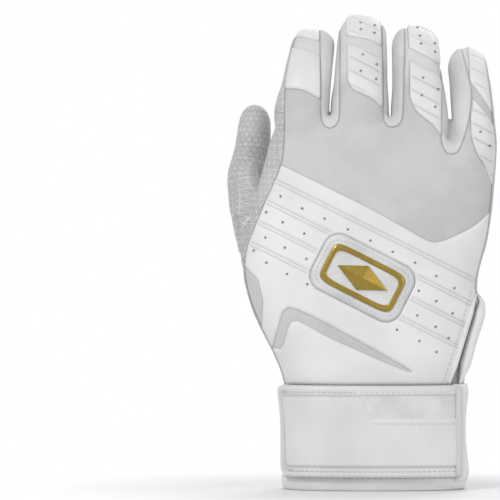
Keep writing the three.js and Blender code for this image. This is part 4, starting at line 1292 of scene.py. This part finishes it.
def badge_place(u, v):
    """Place on the back view from lengths along and across the badge."""
    x = BADGE_CENTRE[0] + u * math.cos(BADGE_TILT) - v * math.sin(BADGE_TILT)
    z = BADGE_CENTRE[1] + u * math.sin(BADGE_TILT) + v * math.cos(BADGE_TILT)
    return x, z


def badge_outline(angle, inset, squareness):
    wide, high = BADGE_SIZE[0] / 2 - inset, BADGE_SIZE[1] / 2 - inset
    return columns(power(np.cos(angle), squareness) * wide, power(np.sin(angle), squareness) * high)


def badge_ring(line, lift):
    """Points over the badge at a height above its rubber base."""
    x, z = badge_place(*line.T)
    middle, wide, deep = hand_section(z)
    out = deep * (1 - np.abs((x - middle) / wide) ** HAND_SQUARENESS) ** (1 / HAND_SQUARENESS)
    return columns(x, -(out - SKIN_INSET + RELIEF["badge"][0] + lift), z)


def badge_plate():
    angle = circle(96)
    diamond = columns(power(np.cos(angle), 2) * LOZENGE[0], power(np.sin(angle), 2) * LOZENGE[1])
    rings = [badge_ring(badge_outline(angle, BADGE_RIM + inset, 0.3), lift) for inset, lift in PLATE_SECTION]
    border = badge_outline(angle, BADGE_RIM + PLATE_BORDER, 0.3)
    for share in (0.35, 0.7, 1.0):
        rings.append(badge_ring(border * (1 - share) + diamond * share, PLATE_FIELD))
    for scale in (0.97, 0.65, 0.33, 0.02):
        rings.append(badge_ring(diamond * scale, PLATE_FIELD + DIAMOND_STEP + DIAMOND_RISE * (1 - scale)))
    count, around = len(rings), len(angle)
    grid = ring_grid(count, around)
    faces = quads(grid)[:, [0, 3, 2, 1]].tolist() + [grid[-1, :-1].tolist(), grid[0, -2::-1].tolist()]
    row = np.concatenate([np.repeat(np.arange(count - 1), around), [count - 1, 0]])
    first, last = len(PLATE_SECTION) - 1, len(PLATE_SECTION) + 2
    piece = make("badge_plate_skin", np.concatenate(rings), faces, [GOLD, RUBBER],
                 material_of=(row >= first) & (row < last))
    piece.data.polygons.foreach_set("use_smooth", row < last)
    piece.data.update()
    return piece


placed(badge_plate(), "hand", "badge_gold", "badge_plate")


# Closure: strap, tapes, gusset and hem as slabs with rolled borders, laid on the cuff
STRAP_TOP = 46.9
STRAP_LOW = 6.0
STRAP_ROOT_TURN = 56.0
STRAP_END_TOP = -79.0
STRAP_END_LOW = -70.0
STRAP_CORNER = 5.5
STRAP_LIFT = 5.0
TAPE_LOW = 12.0
TAPE_HIGH = 42.0
HOOK_TURNS = (-66, -22)
LOOP_TURNS = (-66, 8)
GUSSET_TURNS = (54.5, 90)
GUSSET_THINNING = 2.4
GUSSET_WAIST = 1.3
WINDOW_TURN = -9.0
WINDOW_INSET = 4.2
WINDOW_FOOT = 32.0
WINDOW_PIPING = 0.9
WINDOW_SLANT = 0.5
STITCH_INSET = 2.9
BORDER_INSET = 4.6
BORDER_SECOND = 1.5
BORDER_DEPTH = 0.55
STITCH_DEPTH = 0.3
PANEL_RISE = 0.35
WINDOW_DEPTH = 0.4
WINDOW_ROLL = 0.45
ROLL_FOOT = 0.25
# Distances of the inner and the outer face from the skin
BACKING_LAYER = (2.7, 4.1)
FACE_LAYER = (4.1, 5.1)
HOOK_LAYER = (1.5, 2.6)
LOOP_LAYER = (0.3, 1.3)
GUSSET_LAYER = (-1.0, 5.0)


def spaced(length, step):
    """Places along a length, close together near both ends."""
    ends = np.array([0, 0.12, 0.35, 0.7, 1.2, 1.9])
    inner = np.linspace(2.8, length - 2.8, max(int((length - 5.6) / step), 2))
    return np.concatenate([ends, inner, (length - ends)[::-1]])


# Turn round the cuff against the length round it, measured from the back's middle
CUFF_TURNS = np.linspace(-180, 180, 721)
CUFF_LENGTHS = lengths_along(hand_skin(CUFF_TURNS, 20.0, 3.0))
CUFF_LENGTHS = CUFF_LENGTHS - np.interp(0, CUFF_TURNS, CUFF_LENGTHS)


def length_at(turn):
    return np.interp(turn, CUFF_TURNS, CUFF_LENGTHS)


STRAP_ROOT = length_at(STRAP_ROOT_TURN)
WINDOW_START = length_at(WINDOW_TURN) + 2.4


def cuff_point(s, h, offset):
    """Point at a length round the cuff, a height and a distance out from its skin."""
    turn = np.interp(s, CUFF_LENGTHS, CUFF_TURNS)
    middle, wide, deep = hand_section(h)
    x, out = rounded(turn, wide, deep, HAND_SQUARENESS)
    ahead, behind = (np.stack(rounded(turn + step, wide, deep, HAND_SQUARENESS)) for step in (0.5, -0.5))
    way = ahead - behind
    way = way / np.maximum(np.hypot(*way), 1e-9)
    return columns(middle + x - way[1] * offset, -(out + way[0] * offset), h)


def slab(name, outline, span, layer, material, roll, step=1.2, relief=None, inset=None):
    """A closed band on the cuff: outline gives its start and end length at a height."""
    low, high = span
    inner, outer = layer
    heights = low + spaced(high - low, step)
    first, last = outline(heights)
    widest = np.max(last - first)
    shares = spaced(widest, step) / widest
    s = first[:, None] + (last - first)[:, None] * shares[None]
    h = np.broadcast_to(heights[:, None], s.shape)
    rim = np.ones(s.shape, bool)
    rim[1:-1, 1:-1] = False
    gap = smooth_min(h - low, high - h, s - first[:, None], last[:, None] - s, soft=0.6)
    gap = np.where(rim, 0, np.maximum(gap, 0))
    lift = np.sqrt(1 - (1 - np.clip(gap / roll, 0, 1)) ** 2)
    top = inner + (outer - inner) * (ROLL_FOOT + (1 - ROLL_FOOT) * lift)
    if relief is not None:
        top = top + relief(s, h, gap)
    bottom = inner + (outer - inner) * ROLL_FOOT * (1 - np.clip(gap / 0.5, 0, 1))
    grid = np.arange(s.size).reshape(s.shape)
    under = np.where(rim, grid, s.size + np.cumsum(~rim.ravel()).reshape(s.shape) - 1)
    points = np.concatenate([cuff_point(s, h, top).reshape(-1, 3), cuff_point(s, h, bottom)[~rim]])
    flat = columns(s, h)
    uv = np.concatenate([flat.reshape(-1, 2), flat[~rim]])
    faces = np.concatenate([quads(grid), quads(under)[:, ::-1]])
    if inset is None:
        return make(name, points, faces, [material], uv)
    field, line, second = inset
    outside = np.arange(len(points)) < s.size
    inside = np.where(outside, field(*uv.T), OUTSIDE)
    # strength of the sunk line round the strap's panel, which the strap's material shows as painted shade
    dark = np.where(outside, line(*uv.T), 0)
    halves = np.concatenate([faces[:, [0, 1, 2]], faces[:, [0, 2, 3]]])
    parts, halves = carve(points, halves, {"inside": inside}, {"uv": uv, "groove": dark})
    return make(name, parts["co"], halves, [material, second], parts["uv"],
                material_of=parts["inside"][halves].mean(1) > 0, groove=parts["groove"])


def band(turns):
    """Outline of a band from one turn round the cuff to another."""
    return lambda h: [np.full_like(h, length_at(turn)) for turn in turns]


def strap_outline(inset):
    def at(h):
        share = np.clip((h - STRAP_LOW) / (STRAP_TOP - STRAP_LOW), 0, 1)
        end = length_at(STRAP_END_LOW + (STRAP_END_TOP - STRAP_END_LOW) * share)
        for gap in (h - STRAP_LOW, STRAP_TOP - h):
            into = np.clip(1 - gap / STRAP_CORNER, 0, 1)
            end = end + STRAP_CORNER * (1 - np.sqrt(1 - into**2))
        return end + inset, np.full_like(h, STRAP_ROOT)

    return at


def window_field(s, h):
    """The bare window on the strap: a band under the top border with a slanting end."""
    below = STRAP_TOP - WINDOW_INSET - h
    left = WINDOW_START + below * WINDOW_SLANT
    return smooth_min(s - left, below, h - WINDOW_FOOT, STRAP_ROOT + 9 - s, soft=1.2)


def strap_groove(s, h):
    """The sunk line round the strap's inner panel: 1 on the line, with rounded corners."""
    start = strap_outline(0)(h.ravel())[0].reshape(h.shape)
    inset = smooth_min(h - STRAP_LOW, STRAP_TOP - h, s - start, soft=2.5)
    inner = bump(inset - BORDER_INSET, 0.6)
    return np.maximum(inner, 0.8 * bump(inset - BORDER_INSET + BORDER_SECOND, 0.45) * (s - start < 8))


def strap_relief(s, h, gap):
    start, _ = strap_outline(0)(h[:, 0])
    inset = np.minimum.reduce([h - STRAP_LOW, STRAP_TOP - h, s - start[:, None]])
    window = window_field(s, h)
    clear = ramp(-window, 0.4, 1.4)
    sunk = -STITCH_DEPTH * bump(inset - STITCH_INSET, 0.7) - BORDER_DEPTH * strap_groove(s, h) * clear
    panel = PANEL_RISE * ramp(inset, BORDER_INSET, BORDER_INSET + 1.0) * clear
    recess = -WINDOW_DEPTH * ramp(window, -0.3, 0.3) + WINDOW_ROLL * bump(window + WINDOW_PIPING, 0.6)
    return sunk + panel + recess


def gusset_relief(s, h, gap):
    """The gusset thins from the strap's thickness to the elastic's, and is drawn in at half its height."""
    waist = np.sin(np.pi * np.clip((h - STRAP_LOW) / (STRAP_TOP - STRAP_LOW), 0, 1)) ** 2
    thinning = GUSSET_THINNING * ramp(s, length_at(58), length_at(80))
    drawn = GUSSET_WAIST * waist * ramp(s, length_at(60), length_at(70))
    return -(thinning + drawn) * np.clip(gap / 1.5, 0, 1)


strap_backing = slab("strap_backing_skin", strap_outline(0.0), (STRAP_LOW, STRAP_TOP), BACKING_LAYER,
                     STRAP_WHITE, 1.2)
strap_face = slab("strap_face_skin", strap_outline(0.7), (STRAP_LOW + 0.5, STRAP_TOP - 0.5), FACE_LAYER,
                  STRAP_WHITE, 1.3, 0.5, strap_relief, (window_field, strap_groove, WINDOW))
hook = slab("hook_tape_skin", band(HOOK_TURNS), (TAPE_LOW, TAPE_HIGH), HOOK_LAYER, HOOK, 0.7)
loop = slab("loop_tape_skin", band(LOOP_TURNS), (TAPE_LOW, TAPE_HIGH), LOOP_LAYER, LOOP, 0.7)
gusset = slab("strap_gusset_skin", band(GUSSET_TURNS), (HEM_HEIGHT - 4.5, STRAP_TOP + 0.4), GUSSET_LAYER,
              GUSSET_KNIT, 4.0, relief=gusset_relief)
placed(strap_backing, "strap", "white_synthetic", "strap_backing")
placed(strap_face, "strap", "white_synthetic", "strap_face", "strap_window")
placed(hook, "strap", "hook_loop", "hook_patch")
placed(loop, "hand", "hook_loop", "loop_patch")
placed(gusset, "hand", "knit_elastic", "strap_gusset")

# Lengths round the cuff of the flat textile pieces, which nothing uses further
for piece, turns, below in ((hook, HOOK_TURNS, strap_backing), (loop, LOOP_TURNS, PIECES["underlap_skin"])):
    length = length_at(turns[1]) - length_at(turns[0])


# Hem, welt and piping
HINGE = (42.6, -20.15)
WELT_RADIUS = 1.6
PIPING_LIFT = 0.3
HEM_HALF = HEM_HEIGHT / 2
DORSAL_EDGE = [(50.2, 87), (48.6, 82.6), (43.8, 67), (37.9, 47.6)]
PALMAR_EDGE = [(50.8, 87), (52.2, 82.6), (47.4, 66), (42.4, 47.6)]


def sweep(name, rings, material, closed=False):
    """A tube through rings of points, closed on itself or with ends."""
    rings = np.array(rings)
    count, around = rings.shape[:2]
    grid = ring_grid(count, around)
    faces = quads(np.concatenate([grid, grid[:1]]) if closed else grid)[:, [0, 3, 2, 1]].tolist()
    if not closed:
        faces += [grid[0, -2::-1].tolist(), grid[-1, :-1].tolist()]
    uv = np.stack(np.meshgrid(np.arange(count), np.arange(around) * 0.7, indexing="ij"), -1)
    return make(name, rings.reshape(-1, 3), faces, [material], uv.reshape(-1, 2))


def hem_ring(turn):
    """Section of the hem binding: a flat rounded fold round the lower edge."""
    angle = circle(28)
    h = HEM_HALF + 0.1 + power(np.sin(angle), 0.5) * HEM_HALF
    out = -0.1 + power(np.cos(angle), 0.7) * 1.15
    out += np.where(np.cos(angle) > 0.2, 0.25 * np.cos((h - HEM_HALF) * 0.7), 0)
    return cuff_point(length_at(turn), h, out)


def welt_ring(h):
    """Section of the rolled welt that the strap turns on."""
    angle = np.linspace(2 * np.pi, 0, 20, endpoint=False)
    ends = np.clip(min(h - STRAP_LOW, STRAP_TOP - h) / WELT_RADIUS, 0.02, 1)
    radius = WELT_RADIUS * math.sqrt(1 - (1 - ends) ** 2)
    return columns(HINGE[0] + radius * np.cos(angle), HINGE[1] + radius * np.sin(angle), h)


def axes(along, normal):
    """Directions beside and above a line on a surface."""
    side = np.cross(along, normal)
    side /= np.linalg.norm(side)
    return side, np.cross(side, along)


def piping(name, line, radius, material):
    """A round cord edge along a line on the hand."""
    x, z = rounded_line(line, 10).T
    middle, wide, _ = hand_section(z)
    across = np.minimum((x - middle) / wide, 0.999)
    turn = np.degrees(np.arcsin(power(across, HAND_SQUARENESS / 2)))
    places = hand_skin(turn, z, radius * 0.35 + PIPING_LIFT)
    normals = hand_skin(turn, z, radius + 1) - hand_skin(turn, z, 0)
    way = unit(np.gradient(places, axis=0))
    angle = circle(12)[:, None]
    rings = []
    for k, (place, normal, along) in enumerate(zip(places, normals, way)):
        side, up = axes(along, normal)
        size = radius * min(1, 0.2 + 0.13 * min(k, len(places) - 1 - k))
        rings.append(place + size * (np.cos(angle) * side + np.sin(angle) * up))
    return sweep(name, rings, material)


heights = STRAP_LOW + spaced(STRAP_TOP - STRAP_LOW, 1.0)
# the welt wears the darker knit with painted shade
placed(sweep("strap_welt", [welt_ring(h) for h in heights], WELT_SHADE_KNIT), "hand", "knit_elastic")
hem_rings = [hem_ring(turn) for turn in np.linspace(-180, 180, 220, endpoint=False)]
placed(sweep("hem_skin", hem_rings, HEM_WHITE, True), "hand", "white_synthetic", "hem_binding")
binding = piping("vent_binding_dorsal", DORSAL_EDGE, 1.25, HEM_WHITE)
placed(binding, "hand", "white_synthetic", "vent_binding")
placed(piping("vent_binding_palmar", PALMAR_EDGE, 2.5, HEM_WHITE), "hand", "white_synthetic")


# Stitches, along paths of places and normals
STITCH_PROFILE = [(-0.5, 0.35), (-0.42, 0.85), (0, 1.0), (0.42, 0.85), (0.5, 0.35)]
STITCH_SIDES = 6
RIB_PITCH = 1.15
RIB_HALF = 0.9
skin_tree = BVHTree.FromPolygons(surface.tolist(), triangles.tolist())


def skin_path(line, palm=False):
    """Places and normals of the skin along a line of the back view, or of the palm."""
    way = Vector((0, -1 if palm else 1, 0))
    places, normals = [], []
    for x, z in line:
        hit, normal, _, _ = skin_tree.ray_cast(Vector((x, -200 * way.y, z)), way)
        if hit is not None:
            places.append(hit)
            normals.append(-normal if normal.dot(way) > 0 else normal)
    return np.array(places), np.array(normals)


def cuff_path(s, h, offset):
    places = cuff_point(s, h, offset)
    return places, cuff_point(s, h, offset + 1) - places


def strap_row(h):
    start = strap_outline(STITCH_INSET + 2)(np.array([h]))[0][0]
    return cuff_path(np.linspace(start, STRAP_ROOT - 1, 120), h, STRAP_LIFT)


def spot(table, lengths, s):
    """The entry of a table of points at a length."""
    return np.array([np.interp(s, lengths, axis) for axis in table.T])


def stitches(name, paths, body, length=1.7, pitch=2.4, radius=0.26):
    """Rows of thread: one short rounded stitch after another."""
    grid = ring_grid(len(STITCH_PROFILE), STITCH_SIDES)
    shape = [*quads(grid).tolist(), grid[0, -2::-1].tolist(), grid[-1, :-1].tolist()]
    points, faces = [], []
    for places, normals in paths:
        lengths = lengths_along(places)
        for at in np.arange(pitch / 2, lengths[-1] - length / 2, pitch):
            centre, normal = spot(places, lengths, at), spot(normals, lengths, at)
            along = spot(places, lengths, at + length / 2) - spot(places, lengths, at - length / 2)
            along /= np.linalg.norm(along)
            side, up = axes(along, normal)
            faces += [[len(points) + k for k in face] for face in shape]
            for share, size in STITCH_PROFILE:
                sink = up * (radius * 0.35 - (abs(share) * 2) ** 4 * radius * 0.9)
                middle = centre + along * share * length + sink
                for a in circle(STITCH_SIDES):
                    points.append(middle + radius * size * (math.cos(a) * side + math.sin(a) * up))
    placed(make(name, np.array(points), faces, [THREAD]), body, "white_synthetic")


def ribs(name, line, body):
    """Overcast thread: short ribs side by side across a seam line of the back view."""
    places, normals = skin_path(line)
    lengths = lengths_along(places)
    paths = []
    for at in np.arange(RIB_PITCH, lengths[-1], RIB_PITCH):
        centre, normal = spot(places, lengths, at), spot(normals, lengths, at)
        side = np.cross(spot(places, lengths, at + 0.2) - spot(places, lengths, at - 0.2), normal)
        side *= RIB_HALF / max(np.linalg.norm(side), 1e-9)
        paths.append((np.array([centre - side, centre + side]), np.array([normal] * 2)))
    stitches(name, paths, body, 1.5, 1.9, 0.24)


PALM_LINE = columns(np.linspace(-34, 44, 120), PALM_EDGE + 1.5)
THENAR_LINE = [(-20.4, 118.6), (-6.3, 104.9), (3.2, 93.6), (8.7, 83.4), (10.6, 75.6), (9.8, 65), (6.8, 56.6),
               (-1.8, 49), (-11, 44.6)]
VENT_LINES = [
    [(51.2, 84), (52.8, 80), (50.2, 66), (46.2, 49)],
    [(48.8, 89), (47.0, 84.6), (42.2, 68), (35.8, 49)],
]
RIB_LINES = {
    "ring": [(18.2, 168.8), (18.9, 185), (19.6, 198)],
    "little": [(45.2, 157.2), (47.4, 163), (49.2, 175), (47.6, 188)],
    "middle": [(-9.9, 170.6), (-9.9, 186), (-9.4, 203)],
    "index": [(-18.9, 170.6), (-18.8, 186), (-18.8, 202)],
}
strap_rows = [strap_row(h) for h in (STRAP_TOP - STITCH_INSET, STRAP_LOW + STITCH_INSET)]
stitches("strap_stitches", strap_rows, "strap")
hem_row = cuff_path(np.linspace(CUFF_LENGTHS[0], CUFF_LENGTHS[-1], 400), 5.7, 1.05)
stitches("hem_stitches", [hem_row], "hand", 1.9, 2.7)
palm_rows = [skin_path(line, True) for line in (PALM_LINE, rounded_line(THENAR_LINE, 12))]
stitches("palm_stitches", palm_rows, "hand", 1.5, 2.2, 0.22)
vent_rows = [skin_path(rounded_line(line, 10)) for line in VENT_LINES]
stitches("vent_stitches", vent_rows, "hand", 1.6, 2.3, 0.24)
badge_line = columns(*badge_place(*badge_outline(circle(240), BADGE_STITCH, 0.42).T))
stitches("badge_stitches", [skin_path(badge_line)], "hand", 1.2, 1.9, 0.2)
window_row = cuff_path(np.linspace(WINDOW_START + 7.5, STRAP_ROOT - 1, 60), WINDOW_FOOT - 2.3, 5.35)
stitches("window_stitches", [window_row], "strap", 1.5, 2.3, 0.2)
for finger, line in RIB_LINES.items():
    ribs(f"{finger}_seam_ribs", rounded_line(line, 12), finger)

# Stage: a pale floor with the object's shadow, fading to white away from it, and soft light
FLOOR_SIZE = 6.0
FLOOR_FADE = (0.05, 0.16)
AMBIENT = 0.5
LIGHTS = {
    "key": ((-0.75, -1.1, 1.15), (0, 0, 0.1), 0.6, 10.4),
    "fill": ((1.1, -1.2, 0.5), (0, 0, 0.1), 0.9, 4.0),
    "rim": ((0.3, 1.2, 1.0), (0, 0, 0.12), 1.0, 9.0),
}


def make_floor():
    mesh = bpy.data.meshes.new("floor")
    half = FLOOR_SIZE / 2
    corners = [(-half, -half, 0), (half, -half, 0), (half, half, 0), (-half, half, 0)]
    mesh.from_pydata(corners, [], [(0, 1, 2, 3)])
    floor = linked("floor", mesh)
    made = Shader("floor_white", 0.9)
    made.fill(made.surface, Base_Color=srgb(236))
    place = made.node("NewGeometry").outputs["Position"]
    away = made.node("VectorMath", place, operation="LENGTH").outputs["Value"]
    fade = made.times(made.spread(away, *FLOOR_FADE), made.pale_rays())
    made.show(fade, made.surface, made.node("Emission"), "Material Output")
    mesh.materials.append(made.material)


def make_world():
    studio = bpy.data.worlds.new("studio")
    bpy.context.scene.world = studio
    studio.use_nodes = True
    made = Nodes(studio.node_tree)
    ambient, white = made.tree.nodes["Background"], made.node("Background")
    for background, strength in ((ambient, AMBIENT), (white, 1.0)):
        made.fill(background, Color=(1, 1, 1, 1), Strength=strength)
    made.show(made.pale_rays(), ambient, white, "World Output")


def area_light(name, place, aim, size, watts):
    data = bpy.data.lights.new(name, "AREA")
    data.shape = "DISK"
    data.size = size
    data.energy = watts
    lamp = linked(name, data)
    lamp.location = place
    lamp.rotation_euler = (Vector(aim) - Vector(place)).to_track_quat("-Z", "Y").to_euler()


make_floor()
make_world()
for name, settings in LIGHTS.items():
    area_light(name, *settings)

# Camera: level, straight at the back of the hand, on the photograph's frame
FRAME_WIDTH = 0.225
FRAME_CENTRE = (-0.04956, 0.1071)
CAMERA_GAP = 1.9
SENSOR = 36.0
camera_data = bpy.data.cameras.new("camera")
camera_data.sensor_width = SENSOR
camera_data.lens = SENSOR * CAMERA_GAP / FRAME_WIDTH
camera_data.clip_end = 20
camera = linked("camera", camera_data)
camera.location = (FRAME_CENTRE[0], -CAMERA_GAP, FRAME_CENTRE[1])
camera.rotation_euler = (math.radians(90), 0, 0)
bpy.context.scene.camera = camera
bpy.context.scene.view_settings.view_transform = "Standard"
